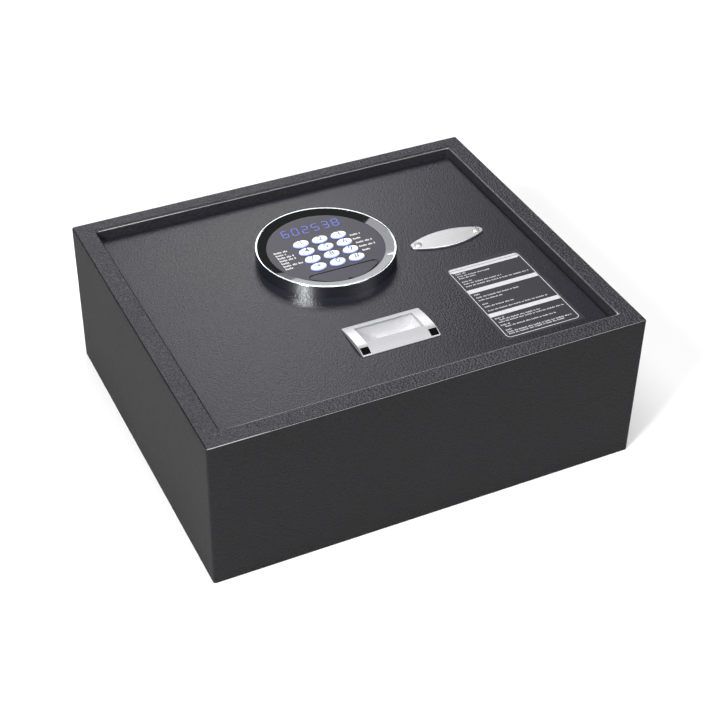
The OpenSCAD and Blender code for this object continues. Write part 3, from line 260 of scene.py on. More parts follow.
@dataclass(frozen=True)
class RimWear:
    """Painted light and shade on the case's paint at its rim, folds and lip, and the real changes
    of their gloss and grain.

    Attributes:
        matt: extra roughness of the walls, which no hand has smoothed.
        pale: how much lighter the rim is painted, as painted light.
        rim: height above which it is smoothed and painted lighter.
        slope: height over which that begins.
        proud: how much higher the grain stands on the rim.
        lip: heights below the rim between which the painted light on the lip's inner face begins.
        lip_share: how much of the rim's painted light that face has.
        fold: heights between which the folded edges run.
        fold_slopes: heights over which they begin and end.
        fold_dark: brightness of the painted shade on them, with the paint at 1.
        fold_gloss: roughness of the folds.
        fold_smooth: how much of the grain is gone there.
        opening: half sizes of the opening in the rim.
        rubbed: distances outside the opening between which the strip along its edge ends.
        patchy: values of the fine noise between which the painted highlight is half and whole.
        left: distances from the left side between which the painted highlight begins.
        front: distance from the front over which the painted highlight weakens.
        away: what is left of it away from the front.
        bare: linear colour of the painted highlight along the opening's edge.
        dust: where the strip of painted shadow along the back begins and ends, outside the
            opening.
        dust_share: how much of the rim's painted light that painted shadow takes back.
    """

    matt: float = 0.6
    pale: float = 4.3
    rim: float = 144.5 * MM
    slope: float = 0.3 * MM
    proud: float = 0.7
    lip: Pair = (12 * MM, 11 * MM)
    lip_share: float = 0.95
    fold: Pair = (144.45 * MM, 144.985 * MM)
    fold_slopes: Pair = (0.05 * MM, 0.02 * MM)
    fold_dark: float = 0.6
    fold_gloss: float = 0.2
    fold_smooth: float = 0.92
    opening: Pair = (182 * MM, 152 * MM)
    rubbed: Pair = (0.9 * MM, 1.4 * MM)
    patchy: Pair = (0.3, 0.6)
    left: Pair = (4 * MM, 16 * MM)
    front: float = 8 * MM
    away: float = 0.3
    bare: Triple = (0.36, 0.36, 0.37)
    dust: tuple[float, ...] = (1.2 * MM, 1.6 * MM, 4.2 * MM, 4.7 * MM)
    dust_share: float = 0.9

    def apply(self, r: Recipe, coat: Finish, where: Wire, fine: Wire,
              surface: tuple[Wire, ...]) -> tuple[Wire, ...]:
        """Paints light and shade on the rim and changes its gloss and grain.

        Args:
            r: recipe that the nodes go into.
            coat: the paint.
            where: coordinates.
            fine: the paint's finest noise.
            surface: colour, roughness and relief of the new paint.

        Returns:
            Colour, roughness and relief of the paint with its painted light and shade, and the
            mask of its folds.
        """
        paint, rough, height = surface
        x, y, high = (r.node("SeparateXYZ", None, {0: where}, out=k) for k in "XYZ")
        wide, long = self.opening
        above = r.range(high, self.rim - self.slope, self.rim)
        low, top = self.fold
        rise, drop = self.fold_slopes
        folds = r.range(high, low, low + rise) * r.fall(high, top - drop, top)
        whole, gone = self.rubbed
        across = r.fall(abs(x), wide + whole, wide + gone)
        inside = across * r.fall(abs(y), long + whole, long + gone)
        lip = r.range(high, self.rim - self.lip[0], self.rim - self.lip[1])
        # Painted light: the rim's top and the lip's inner face are painted lighter.
        smooth = above + inside * lip * (1.0 - above) * self.lip_share
        paint = r.mix(smooth, paint, r.mix(1.0, paint, (self.pale,) * 3, "MULTIPLY"))
        # Painted shadow: a strip behind the opening's back edge loses the painted light.
        d0, d1, d2, d3 = (long + far for far in self.dust)
        dust = r.range(y, d0, d1) * r.fall(y, d2, d3) * across * above
        paint = r.mix(dust * self.dust_share, paint, coat.colour)
        # Painted shade: the folded edges are painted darker.
        paint = r.mix(folds, paint, dimmed(coat.colour, self.fold_dark))
        # Painted highlight: a lighter strip along the opening's edge on the rim, strongest at the
        # front and absent at the left.
        edge_highlight = inside * above * r.range(x, self.left[0] - wide, self.left[1] - wide)
        edge_highlight = edge_highlight * r.range(y, -long, self.front - long, 1.0, self.away)
        edge_highlight = edge_highlight * r.range(fine, *self.patchy, 0.5, 1.0)
        paint = r.mix(edge_highlight, paint, self.bare)
        rough = (rough + (1.0 - above) * self.matt) * (1.0 - folds) + folds * self.fold_gloss
        height = height * (1.0 - folds * self.fold_smooth) * (1.0 + above * self.proud)
        return paint, rough, height, folds


@dataclass(frozen=True)
class PowderCoat(Finish):
    """Charcoal powder paint with a fine leather grain.

    Attributes:
        grain: width of one pebble, in metres.
        depth: height of the pebbles, in metres.
        gloss: mean roughness.
        spec: strength of its shine.
        wear: painted light and shade on its rim, with the rim's changes of gloss and grain, if it
            has them.
        clear: refractive index of the clear coat on worn folds.
        vary: how much the roughness is below and above its mean.
        patches: brightness of its darkest and lightest patches, with its colour at 1.
        relief: brightness between the pebbles, as painted shade, and on their tops, as painted
            light.
        dome: distances from a pebble's middle between which it falls off, in its widths.
        drift: how far the pebbles stray from a regular pattern.
        stipple: finer bumps on each pebble, in a pebble's width.
        mixture: shares of pebbles and fine bumps in the relief.
    """

    grain: float = 2.0 * MM
    depth: float = 0.4 * MM
    gloss: float = 0.32
    spec: float = 0.5
    wear: RimWear | None = None
    clear: float = 1.9
    vary: Pair = (-0.06, 0.08)
    patches: Pair = (0.92, 1.08)
    relief: Pair = (0.7, 1.2)
    dome: Pair = (0.05, 0.75)
    drift: float = 0.6 * MM
    stipple: float = 1.9
    mixture: Pair = (0.7, 0.45)

    def make(self) -> bpy.types.Material:
        """Builds the material."""
        r = Recipe(self.name)
        where = r.place()
        pebbles = r.node("TexVoronoi", {"feature": "SMOOTH_F1"}, {
            "Vector": r.mix(self.drift, where, r.noise(where, 260.0)),
            "Scale": 1 / self.grain, "Smoothness": 0.7, "Randomness": 1.0})
        fine = r.noise(where, self.stipple / self.grain, 3.0)
        broad = r.noise(where, 14.0, 3.0)
        tops = r.fall(pebbles, *self.dome)
        height = tops * self.mixture[0] + fine * self.mixture[1]
        # Painted shade between the pebbles and painted light on their tops, with random patches
        # of tone.
        shade = r.spread(broad, *self.patches) * r.range(tops, 0.0, 1.0, *self.relief)
        paint = r.mix(1.0, self.colour, shade, "MULTIPLY")
        rough = r.rough(fine, self.gloss, self.vary)
        folds: Any = 0.0
        if self.wear:
            paint, rough, height, folds = self.wear.apply(
                r, self, where, fine, (paint, rough, height))
        return r.finish(Base_Color=paint, Roughness=rough, Coat_Weight=folds,
                        Coat_IOR=self.clear, Normal=r.bump(height, self.depth),
                        Specular_IOR_Level=self.spec)


@dataclass(frozen=True)
class Plating(Finish):
    """Bright or satin plated metal, with faint wipes in its shine.

    Attributes:
        gloss: roughness where it is cleanest.
        wipe: extra roughness in the wiped patches.
        wave: height of its slight waviness, in metres.
        metal: share of metal shine, less where the plating is pearly.
    """

    gloss: float = 0.04
    wipe: float = 0.05
    wave: float = 0.001 * MM
    metal: float = 1.0

    def make(self) -> bpy.types.Material:
        """Builds the material."""
        r = Recipe(self.name)
        where = r.place()
        patches = r.noise(where, 45.0, 4.0)
        hair = r.noise(r.place((900.0, 60.0, 300.0), 25.0), 1.0, 2.0)
        rough = r.range(patches, 0.42, 0.72, self.gloss, self.gloss + self.wipe)
        rough = rough + r.range(hair, 0.5, 0.9, 0.0, self.wipe * 0.5)
        tint = r.mix(r.range(patches, 0.4, 0.75, 0.0, 0.12), self.colour,
                     dimmed(self.colour, 0.82))
        relief = r.bump(r.noise(where, 300.0, 2.0), self.wave)
        return r.finish(Base_Color=tint, Metallic=self.metal, Roughness=rough, Normal=relief)


@dataclass(frozen=True)
class BrushedMetal(Finish):
    """Metal with straight brush lines.

    Attributes:
        gloss: mean roughness.
        turn: direction of the lines from X, in degrees.
        depth: height of the lines, in metres.
        shade: brightness between the lines, with its colour at 1.
        vary: how much the roughness is below and above its mean.
        fine: how closely the lines stand along themselves and across, to a metre.
        broad: the same of the bands that they form.
    """

    gloss: float = 0.3
    turn: float = 0.0
    depth: float = 0.004 * MM
    shade: float = 0.82
    vary: Pair = (-0.07, 0.09)
    fine: Triple = (35.0, 4200.0, 4200.0)
    broad: Triple = (12.0, 220.0, 220.0)

    def make(self) -> bpy.types.Material:
        """Builds the material."""
        r = Recipe(self.name)
        lines = r.noise(r.place(self.fine, self.turn), 1.0, 3.0)
        bands = r.noise(r.place(self.broad, self.turn), 1.0, 2.0)
        rough = r.rough(lines, self.gloss, self.vary) + r.spread(bands, -0.03, 0.03)
        return r.finish(Base_Color=self.mottle(r, lines, self.shade), Metallic=1.0,
                        Roughness=rough, Normal=r.bump(lines, self.depth, 0.35))


@dataclass(frozen=True)
class Moulding(Finish):
    """Moulded plastic, silicone or rubber.

    Attributes:
        gloss: mean roughness.
        spark: width of the spark-eroded grain, in metres.
        depth: height of that grain, in metres.
        coat: weight of a clear coat.
        shade: brightness of its darkest patches, with its colour at 1.
        vary: how much the roughness is below and above its mean.
    """

    gloss: float = 0.45
    spark: float = 0.5 * MM
    depth: float = 0.01 * MM
    coat: float = 0.0
    shade: float = 0.93
    vary: Pair = (-0.05, 0.07)

    def make(self) -> bpy.types.Material:
        """Builds the material."""
        r = Recipe(self.name)
        where = r.place()
        grain = r.noise(where, 1 / self.spark, 3.0)
        tint = self.mottle(r, r.noise(where, 30.0, 3.0), self.shade)
        return r.finish(Base_Color=tint, Roughness=r.rough(grain, self.gloss, self.vary),
                        Normal=r.bump(grain, self.depth), Coat_Weight=self.coat)


@dataclass(frozen=True)
class LitKey(Finish):
    """White key cap, lit blue from behind at its foot.

    Attributes:
        glow: linear colour of the light at its foot.
        foot: height of the fascia, in metres.
        top: height of the key's top, in metres.
        power: strength of the light.
        shine: roughness where it is smoothest and where it is roughest.
    """

    glow: Triple
    foot: float
    top: float
    power: float = 0.35
    shine: Pair = (0.16, 0.26)

    def make(self) -> bpy.types.Material:
        """Builds the material."""
        r = Recipe(self.name)
        where = r.place()
        height = r.node("SeparateXYZ", None, {0: where}, out="Z")
        low = r.fall(height, self.foot, self.top)
        cloud = r.noise(where, 240.0, 3.0)
        tint = r.mix(low, self.colour, self.glow)
        light = r.mix(low, dimmed(self.colour, 0.9), self.glow)
        return r.finish(Base_Color=tint, Roughness=r.spread(cloud, *self.shine),
                        Emission_Color=light, Emission_Strength=self.power,
                        Normal=r.bump(cloud, 0.01 * MM))


@dataclass(frozen=True)
class Carpet(Finish):
    """Needle felt.

    Attributes:
        shades: how dark and how light its fibres are, with its colour at 1.
        pile: height of the fibres, in metres.
    """

    shades: Pair = (0.55, 1.5)
    pile: float = 0.35 * MM

    def make(self) -> bpy.types.Material:
        """Builds the material."""
        r = Recipe(self.name)
        fibres = r.noise(r.place((700.0, 1900.0, 900.0), 35.0), 1.0, 4.0)
        across = r.noise(r.place((1900.0, 700.0, 900.0), 10.0), 1.0, 4.0)
        tufts = r.noise(r.place(), 420.0, 3.0)
        pile = fibres * 0.5 + across * 0.5
        dark, light = (dimmed(self.colour, share) for share in self.shades)
        return r.finish(Base_Color=r.mix(r.range(pile, 0.35, 0.65), dark, light),
                        Roughness=0.95, Sheen_Weight=0.25,
                        Normal=r.bump(pile + tufts, self.pile))


@dataclass(frozen=True)
class CircuitBoard(Finish):
    """Green solder mask over copper tracks.

    Attributes:
        track: linear colour over copper.
        pitch: spacing of the tracks, in metres.
    """

    track: Triple
    pitch: float = 2.54 * MM

    def make(self) -> bpy.types.Material:
        """Builds the material."""
        r = Recipe(self.name)
        cells = r.node("TexBrick", {"offset": 0.37, "squash": 0.6}, {
            "Vector": r.place(), "Scale": 1 / self.pitch, "Mortar Size": 0.11,
            "Mortar Smooth": 0.15, "Brick Width": 2.3, "Row Height": 0.55}, out="Fac")
        tint = r.mix(cells, self.colour, self.track)
        rough = r.spread(r.noise(r.place(), 800.0), 0.3, 0.42)
        return r.finish(Base_Color=tint, Roughness=rough, Normal=r.bump(cells, 0.03 * MM))


@dataclass(frozen=True)
class Lamp(Finish):
    """Lit figures, a little uneven.

    Attributes:
        power: strength of the light.
        shade: brightness where it is dimmest, with its colour at 1.
    """

    power: float
    shade: float = 0.8

    def make(self) -> bpy.types.Material:
        """Builds the material."""
        r = Recipe(self.name)
        light = self.mottle(r, r.noise(r.place(), 500.0, 2.0), self.shade)
        return r.finish(Base_Color=self.colour, Roughness=0.5, Emission_Color=light,
                        Emission_Strength=self.power)


@dataclass(frozen=True)
class PrintInk(Finish):
    """Screen-printed ink, a little worn.

    Attributes:
        spec: strength of its shine.
    """

    spec: float = 0.5

    def make(self) -> bpy.types.Material:
        """Builds the material."""
        r = Recipe(self.name)
        worn = r.noise(r.place(), 900.0, 3.0)
        tint = r.mix(r.range(worn, 0.35, 0.65), dimmed(self.colour, 0.85), self.colour)
        return r.finish(Base_Color=tint, Roughness=r.spread(worn, 0.4, 0.55),
                        Specular_IOR_Level=self.spec)


class Finishes:
    """All the materials, each made once."""

    def __init__(self) -> None:
        """Makes every material."""
        key_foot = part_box("fascia")[1].z
        key_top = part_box("key_5")[1].z
        recipes = [
            PowderCoat("case_powder_coat", linear(23, 23, 26), 1.9 * MM, 0.5 * MM, 0.16, 0.36,
                       RimWear()),
            PowderCoat("lid_powder_coat", linear(28, 27, 36), 1.55 * MM, 0.17 * MM, spec=0.45),
            PowderCoat("pan_powder_coat", linear(44, 44, 47), 1.2 * MM, 0.08 * MM, 0.38),
            Carpet("felt_carpet", linear(52, 52, 56)),
            BrushedMetal("zinc_plate", (0.6, 0.61, 0.63), 0.36, 20.0),
            BrushedMetal("bright_steel", (0.7, 0.71, 0.73), 0.2, 90.0),
            BrushedMetal("spring_steel", (0.22, 0.22, 0.25), 0.35),
            BrushedMetal("milled_steel", (0.5, 0.5, 0.53), 0.33, 90.0),
            BrushedMetal("motor_can", (0.62, 0.63, 0.65), 0.28),
            BrushedMetal("brushed_silver", (0.72, 0.72, 0.73), 0.38),
            BrushedMetal("machined_brass", (0.72, 0.55, 0.25), 0.25, 45.0),
            Plating("bright_chrome", (0.66, 0.67, 0.69), 0.035, 0.03),
            Plating("frame_chrome", (0.58, 0.58, 0.59), 0.28, 0.05, metal=0.5),
            # The handle's lip and cup share one plating: the lip's copy is painted darker and the
            # cup's lighter, as painted shade and painted light.
            Plating("lip_plating_shaded_copy", (0.44, 0.44, 0.455), 0.5, 0.04, metal=0.2),
            Plating("cup_plating_lit_copy", (0.86, 0.86, 0.88), 0.3, 0.06, metal=0.3),
            Moulding("rubber", linear(38, 38, 39), 0.75, 0.4 * MM, 0.03 * MM),
            Moulding("black_plastic", linear(42, 42, 45), 0.5, 0.4 * MM, 0.03 * MM),
            Moulding("gloss_black", linear(12, 12, 13), 0.08, 2.0 * MM, 0.001 * MM),
            Moulding("smoked_fascia", linear(46, 43, 56), 0.4, 0.5 * MM, 0.006 * MM),
            Moulding("display_glass", linear(46, 43, 56), 0.38, 2.0 * MM, 0.001 * MM),
            Moulding("display_body", linear(225, 228, 234), 0.5),
            Moulding("silicone", linear(160, 164, 170), 0.6),
            Moulding("acetal", linear(230, 230, 226), 0.4),
            Moulding("cell_sleeve", linear(60, 84, 122), 0.25, coat=0.4),
            Moulding("label_film", linear(42, 41, 47), 0.45, 3.0 * MM, 0.004 * MM),
            CircuitBoard("circuit_board", (0.012, 0.09, 0.035), (0.05, 0.22, 0.08)),
            LitKey("lit_key", (0.86, 0.9, 0.97), (0.32, 0.42, 0.95), key_foot, key_top),
            Lamp("display_figures", (0.11, 0.15, 0.6), 0.37),
            PrintInk("white_ink", linear(204, 204, 208), 0.2),
            PrintInk("bright_ink", linear(236, 236, 238), 0.3),
            PrintInk("blue_grey_ink", linear(96, 104, 148)),
            # Dark print of painted shadow along the port cover's seam.
            PrintInk("painted_seam_shadow", (0.004, 0.004, 0.005), 0.05),
        ]
        self.made = {recipe.name: recipe.make() for recipe in recipes}

    def __getitem__(self, name: str) -> bpy.types.Material:
        """The material of that name."""
        return self.made[name]


# ---- shop tools


@dataclass
class Shop:
    """Tools that every sub-assembly uses.

    Attributes:
        finishes: the materials.
    """

    finishes: Finishes

    def dress(self, finish: str, *nodes: str) -> None:
        """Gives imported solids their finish.

        Args:
            finish: name of the material.
            *nodes: names of the solids.
        """
        for name in nodes:
            solid = frame["nodes"][name]
            if not solid.material_slots:
                solid.data.materials.append(None)
            for place in solid.material_slots:
                place.material = self.finishes[finish]

    def piece(self, name: str, bm: BMesh, finish: str, body: str) -> None:
        """Turns a finished bmesh into a piece that rides on a body.

        Args:
            name: name of the piece.
            bm: its mesh, in place; it is freed.
            finish: name of the material.
            body: body that the piece rides on.
        """
        mesh = bpy.data.meshes.new(name)
        bmesh.ops.recalc_face_normals(bm, faces=bm.faces)
        for face in bm.faces:
            face.smooth = False
        bm.to_mesh(mesh)
        bm.free()
        mesh.materials.append(self.finishes[finish])
        made = bpy.data.objects.new(name, mesh)
        bpy.context.scene.collection.objects.link(made)
        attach(made, body)
        log.info("%s: %d faces on %s", name, len(mesh.polygons), body)


def thicken(bm: BMesh, faces: list[bmesh.types.BMFace], thick: float) -> None:
    """Gives flat faces their thickness, upwards.

    Args:
        bm: mesh that they are in.
        faces: the faces.
        thick: thickness.
    """
    lifted = bmesh.ops.extrude_face_region(bm, geom=faces)
    tops = [g for g in lifted["geom"] if isinstance(g, bmesh.types.BMVert)]
    bmesh.ops.translate(bm, verts=tops, vec=(0, 0, thick))


def plate(bm: BMesh, outline: Outline, z: float, thick: float) -> None:
    """Adds a flat plate with any outline.

    Args:
        bm: mesh that takes it.
        outline: its corners, in order.
        z: height of its underside.
        thick: thickness.
    """
    face = bm.faces.new([bm.verts.new((x, y, z)) for x, y in outline])
    face.normal_update()
    thicken(bm, [face], thick)


def band(bm: BMesh, outer: Outline, inner: Outline, z: float, thick: float) -> None:
    """Adds a thin closed line between two outlines with as many corners each.

    Args:
        bm: mesh that takes it.
        outer: the outer outline.
        inner: the inner outline.
        z: height of its underside.
        thick: thickness.
    """
    rings = [[bm.verts.new((x, y, z)) for x, y in outline] for outline in (outer, inner)]
    edges = [bm.edges.new((ring[k], ring[(k + 1) % len(ring)]))
             for ring in rings for k in range(len(ring))]
    thicken(bm, bmesh.ops.bridge_loops(bm, edges=edges)["faces"], thick)


def word_bars(bm: BMesh, x0: float, x1: float, y: float, size: Pair, z: float,
              thick: float) -> None:
    """Adds a row of small upright bars in groups, like print too small to read.

    Args:
        bm: mesh that takes them.
        x0: start of the row.
        x1: end of the row.
        y: middle of the row.
        size: height of the tallest bar, and spacing of the bars.
        z: height of their underside.
        thick: thickness.
    """
    tall, pitch = size
    heights, groups = (1.0, 0.7, 0.75, 0.95, 0.7, 0.72, 1.0, 0.68), (5, 3, 7, 4, 6, 2)
    wide, gap = 0.6 * pitch, 0.8 * pitch
    x, place, group, left = x0, 0, 0, groups[0]
    low = y - tall / 2
    while x + wide <= x1:
        high = low + tall * heights[place % len(heights)]
        plate(bm, [(x, low), (x + wide, low), (x + wide, high), (x, high)], z, thick)
        x, place, left = x + pitch, place + 1, left - 1
        if left == 0:
            group += 1
            x, left = x + gap, groups[group % len(groups)]


def rounded(x0: float, x1: float, y0: float, y1: float, r: float) -> Outline:
    """Corners of a rectangle with round corners.

    Args:
        x0: left side.
        x1: right side.
        y0: front side.
        y1: back side.
        r: radius of the corners.

    Returns:
        The points, anticlockwise.
    """
    points, steps = [], 6
    for cx, cy, start in ((x1 - r, y0 + r, -90), (x1 - r, y1 - r, 0),
                          (x0 + r, y1 - r, 90), (x0 + r, y0 + r, 180)):
        for k in range(steps + 1):
            angle = math.radians(start + 90 * k / steps)
            points.append((cx + r * math.cos(angle), cy + r * math.sin(angle)))
    return points


def lettering(text: str, size: float) -> BMesh:
    """Flat figures, centred on the origin.

    Args:
        text: generic figures.
        size: font size, in metres.

    Returns:
        Their mesh, one face layer at z = 0.
    """
    curve = bpy.data.curves.new("figures", "FONT")
    curve.body = text
    curve.size = size
    curve.align_x = "CENTER"
    curve.align_y = "CENTER"
    curve.resolution_u = 3
    curve.offset = BOLDNESS * size
    holder = bpy.data.objects.new("figures", curve)
    bpy.context.scene.collection.objects.link(holder)
    bpy.context.view_layer.update()
    graph = bpy.context.evaluated_depsgraph_get()
    mesh = bpy.data.meshes.new_from_object(holder.evaluated_get(graph))
    bpy.data.objects.remove(holder)
    bpy.data.curves.remove(curve)
    bm = bmesh.new()
    bm.from_mesh(mesh)
    bpy.data.meshes.remove(mesh)
    xs = [v.co.x for v in bm.verts]
    ys = [v.co.y for v in bm.verts]
    middle = Vector(((min(xs) + max(xs)) / 2, (min(ys) + max(ys)) / 2, 0))
    bmesh.ops.translate(bm, verts=bm.verts, vec=-middle)
    return bm


# ---- sub-assemblies


@dataclass
class SubAssembly:
    """A part of the safe whose solids take their finishes.

    Attributes:
        coats: each finish, with the solids that take it.
    """

    coats: Coats

    def build(self, shop: Shop) -> None:
        """Dresses the solids with the shop's tools."""
        for finish, *nodes in self.coats:
            shop.dress(finish, *nodes)


@dataclass
class SafeCase(SubAssembly):
    """Case, floor, mat, hinge plates and lid rests."""

    coats: Coats = (
        ("case_powder_coat", "body_shell", "base_plate", "hinge_brackets", "lid_rest_tabs"),
        ("felt_carpet", "floor_mat"),
        ("bright_steel", "hinge_pins"),
        ("spring_steel", "hinge_clips"),
        ("rubber", "lid_buffers"))


@dataclass
class Lid(SubAssembly):
    """Lid plate with its hinge ears."""

    coats: Coats = (("lid_powder_coat", "lid_plate", "hinge_ears"),)


@dataclass
class Keypad(SubAssembly):
    """Round keypad with its ring, keys, display and printed marks.

    Attributes:
        coats: each finish, with the solids that take it, apart from the keys.
        centre: middle of the ring, in X and Y.
        print_lift: how far print stands on what carries it.
        key_names: figure of each key.
        figure_size: font size of those figures.
        figures: digits that the display shows.
        lit_size: height, width and stroke of a lit figure.
        lit_pitch: spacing of the lit figures.
        lit_lean: how far they lean to the right, as a share of their height.
        lit_trim: what each stroke leaves free at its ends, as a share of its width.
        film: how far the window's film reaches past it, and its corners' radius.
        mark_size: height of the tallest bar of the marks, and spacing of the bars.
        left_marks: lengths of the rows left of the keys, in millimetres.
        right_marks: the same on the right.
        left_start: where the rows on the left start from the centre, and their spacing.
        right_start: the same on the right.
        port_edge: straight edge of the service port's cover.
        port_arc_r: radius of its round edge.
        port_arc_y: middle of its round edge.
        port_corner_r: radius of its corners.
        port_steps: pieces of its round edge.
        seam: outer and inner side of the painted shadow round the seam, and those of the painted
        shadow on the cover's edge, as distances outside the cover.
        seam_lift: thickness of those painted shadow lines.
    """

    coats: Coats = (
        ("bright_chrome", "bezel_ring"),
        ("smoked_fascia", "fascia", "port_cover"),
        ("display_glass", "display_window"),
        ("display_body", "display_module"),
        ("black_plastic", "keypad_base", "service_port"),
        ("zinc_plate", "keypad_nuts"),
        ("circuit_board", "keypad_board"),
        ("silicone", "key_mat"))
    centre: Pair = (-3 * MM, 40 * MM)
    print_lift: float = 0.04 * MM
    key_names: dict[str, str] = field(default_factory=lambda: {
        **{f"key_{n}": str(n) for n in range(10)}, "key_star": "*", "key_hash": "#"})
    figure_size: float = 9.0 * MM
    figures: str = "602538"
    lit_size: Triple = (10.6 * MM, 5.6 * MM, 0.8 * MM)
    lit_pitch: float = 10.0 * MM
    lit_lean: float = 0.1
    lit_trim: float = 0.35
    film: Pair = (0.6 * MM, 1.2 * MM)
    mark_size: Pair = (2.6 * MM, 1.5 * MM)
    left_marks: tuple[float, ...] = (12.7, 10.5, 16.4, 16.4, 9.0, 18.6, 9.5)
    right_marks: tuple[float, ...] = (10.5, 9.5, 15.6, 15.5, 9.5)
    left_start: Triple = (-46.6 * MM, 9.7 * MM, 4.4 * MM)
    right_start: Triple = (28.4 * MM, 9.2 * MM, 6.6 * MM)
    port_edge: float = -34.9 * MM
    port_arc_r: float = 46 * MM
    port_arc_y: float = -7.5 * MM
    port_corner_r: float = 3.5 * MM
    port_steps: int = 60
    seam: tuple[float, ...] = (0.75 * MM, 0.12 * MM, -0.02 * MM, -0.4 * MM)
    seam_lift: float = 0.03 * MM

    def build(self, shop: Shop) -> None:
        """Dresses the keypad and adds its figures and marks.

        Args:
            shop: the shop's tools.
        """
        super().build(shop)
        shop.dress("lit_key", *self.key_names)
        self.key_figures(shop)
        self.display_figures(shop)
        self.marks(shop)
        self.port_seam(shop)

    def key_figures(self, shop: Shop) -> None:
        """Prints a figure on each key.

        Args:
            shop: the shop's tools.
        """
        for name, text in self.key_names.items():
            low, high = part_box(name)
            bm = lettering(text, self.figure_size)
            thicken(bm, list(bm.faces), self.print_lift)
            middle = (low + high) / 2
            bmesh.ops.translate(bm, verts=bm.verts, vec=(middle.x, middle.y, high.z))
            shop.piece(f"{name}_figure", bm, "blue_grey_ink", name)

    def display_figures(self, shop: Shop) -> None:
        """Lights the six figures behind the window.

        Args:
            shop: the shop's tools.
        """
        lit = {"0": "abcdef", "1": "bc", "2": "abged", "3": "abgcd", "4": "fgbc",
               "5": "afgcd", "6": "afgedc", "7": "abc", "8": "abcdefg", "9": "abcdfg"}
        tall, wide, bar = self.lit_size
        half, trim = tall / 2, self.lit_trim * bar
        low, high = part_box("display_window")
        middle = (low + high) / 2
        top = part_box("fascia")[1].z
        ends = {
            "a": ((0, tall), (wide, tall)), "g": ((0, half), (wide, half)),
            "d": ((0, 0), (wide, 0)), "f": ((0, half), (0, tall)),
            "b": ((wide, half), (wide, tall)), "e": ((0, 0), (0, half)),
            "c": ((wide, 0), (wide, half))}
        film = bmesh.new()
        over, corner = self.film
        plate(film, rounded(low.x - over, high.x + over, low.y - over, high.y + over, corner),
              max(high.z, top), self.print_lift)
        shop.piece("window_film", film, "smoked_fascia", Body.LID.value)
        bm = bmesh.new()
        for place, figure in enumerate(self.figures):
            start = (place - (len(self.figures) - 1) / 2) * self.lit_pitch - wide / 2
            for segment in lit[figure]:
                (xa, ya), (xb, yb) = ends[segment]
                along = Vector((xb - xa, yb - ya)).normalized()
                across = Vector((-along.y, along.x)) * bar / 2
                point = along * bar / 2
                first, last = Vector((xa, ya)) + along * trim, Vector((xb, yb)) - along * trim
                corners = [first, first + point - across, last - point - across,
                           last, last - point + across, first + point + across]
                outline = [(middle.x + start + c.x + self.lit_lean * (c.y - half),
                            middle.y + c.y - half) for c in corners]
                plate(bm, outline, top + self.print_lift, self.print_lift)
        shop.piece("display_lit_figures", bm, "display_figures", Body.LID.value)

    def marks(self, shop: Shop) -> None:
        """Prints the rows of plain bars beside the keys.

        Args:
            shop: the shop's tools.
        """
        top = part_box("fascia")[1].z
        cx, cy = self.centre
        bm = bmesh.new()
        for widths, (x, y, pitch) in ((self.left_marks, self.left_start),
                                      (self.right_marks, self.right_start)):
            for row, width in enumerate(widths):
                word_bars(bm, cx + x, cx + x + width * MM, cy + y - pitch * row,
                          self.mark_size, top, self.print_lift)
        shop.piece("fascia_marks", bm, "bright_ink", Body.LID.value)

    def port_seam(self, shop: Shop) -> None:
        """Paints the shadow of the seam round the cover of the service port, as dark lines on
        both its sides.

        Args:
            shop: the shop's tools.
        """
        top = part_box("fascia")[1].z
        cx, cy = self.centre
        outer, inner, far, near = ([(cx + x, cy + y) for x, y in self.port_outline(out)]
                                   for out in self.seam)
        # Painted shadow: dark lines outside the seam and on the cover's edge.
        bm = bmesh.new()
        band(bm, outer, inner, top, self.seam_lift)
        shop.piece("port_seam", bm, "painted_seam_shadow", Body.LID.value)
        bm = bmesh.new()
        plate(bm, far[:self.port_steps] + near[:self.port_steps][::-1], top, self.seam_lift)
        shop.piece("port_cover_painted_shadow", bm, "painted_seam_shadow", Body.PORT_COVER.value)

    def port_outline(self, out: float) -> Outline:
        """Outline of the port's cover about the keypad's middle.

        Args:
            out: how far outside the cover it runs.

        Returns:
            The points, anticlockwise.
        """
        big, small = self.port_arc_r, self.port_corner_r
        y = self.port_edge - small
        x = math.sqrt((big - small) ** 2 - (y - self.port_arc_y) ** 2)
        lean, up, corner_steps = math.atan2(y - self.port_arc_y, x), math.pi / 2, 8
        points = []
        for mx, my, r, start, end, steps in (
                (0.0, self.port_arc_y, big, -math.pi - lean, lean, self.port_steps),
                (x, y, small, lean, up, corner_steps), (x, y, small, up, up, 1),
                (-x, y, small, up, math.pi - lean, corner_steps)):
            for k in range(steps):
                a = start + (end - start) * k / steps
                points.append((mx + (r + out) * math.cos(a), my + (r + out) * math.sin(a)))
        return points


@dataclass
class PullHandle(SubAssembly):
    """Chrome pull with its finger cup."""

    coats: Coats = (
        ("frame_chrome", "handle_frame"),
        ("lip_plating_shaded_copy", "handle_lip"),
        ("cup_plating_lit_copy", "handle_cup"),
        ("gloss_black", "handle_inserts"),
        ("zinc_plate", "handle_screws"))


@dataclass
class OverridePlate(SubAssembly):
    """Oval plate over the key lock, with its two screws."""

    coats: Coats = (
        ("brushed_silver", "cover_plate"),
        ("frame_chrome", "cover_plate_screws"))


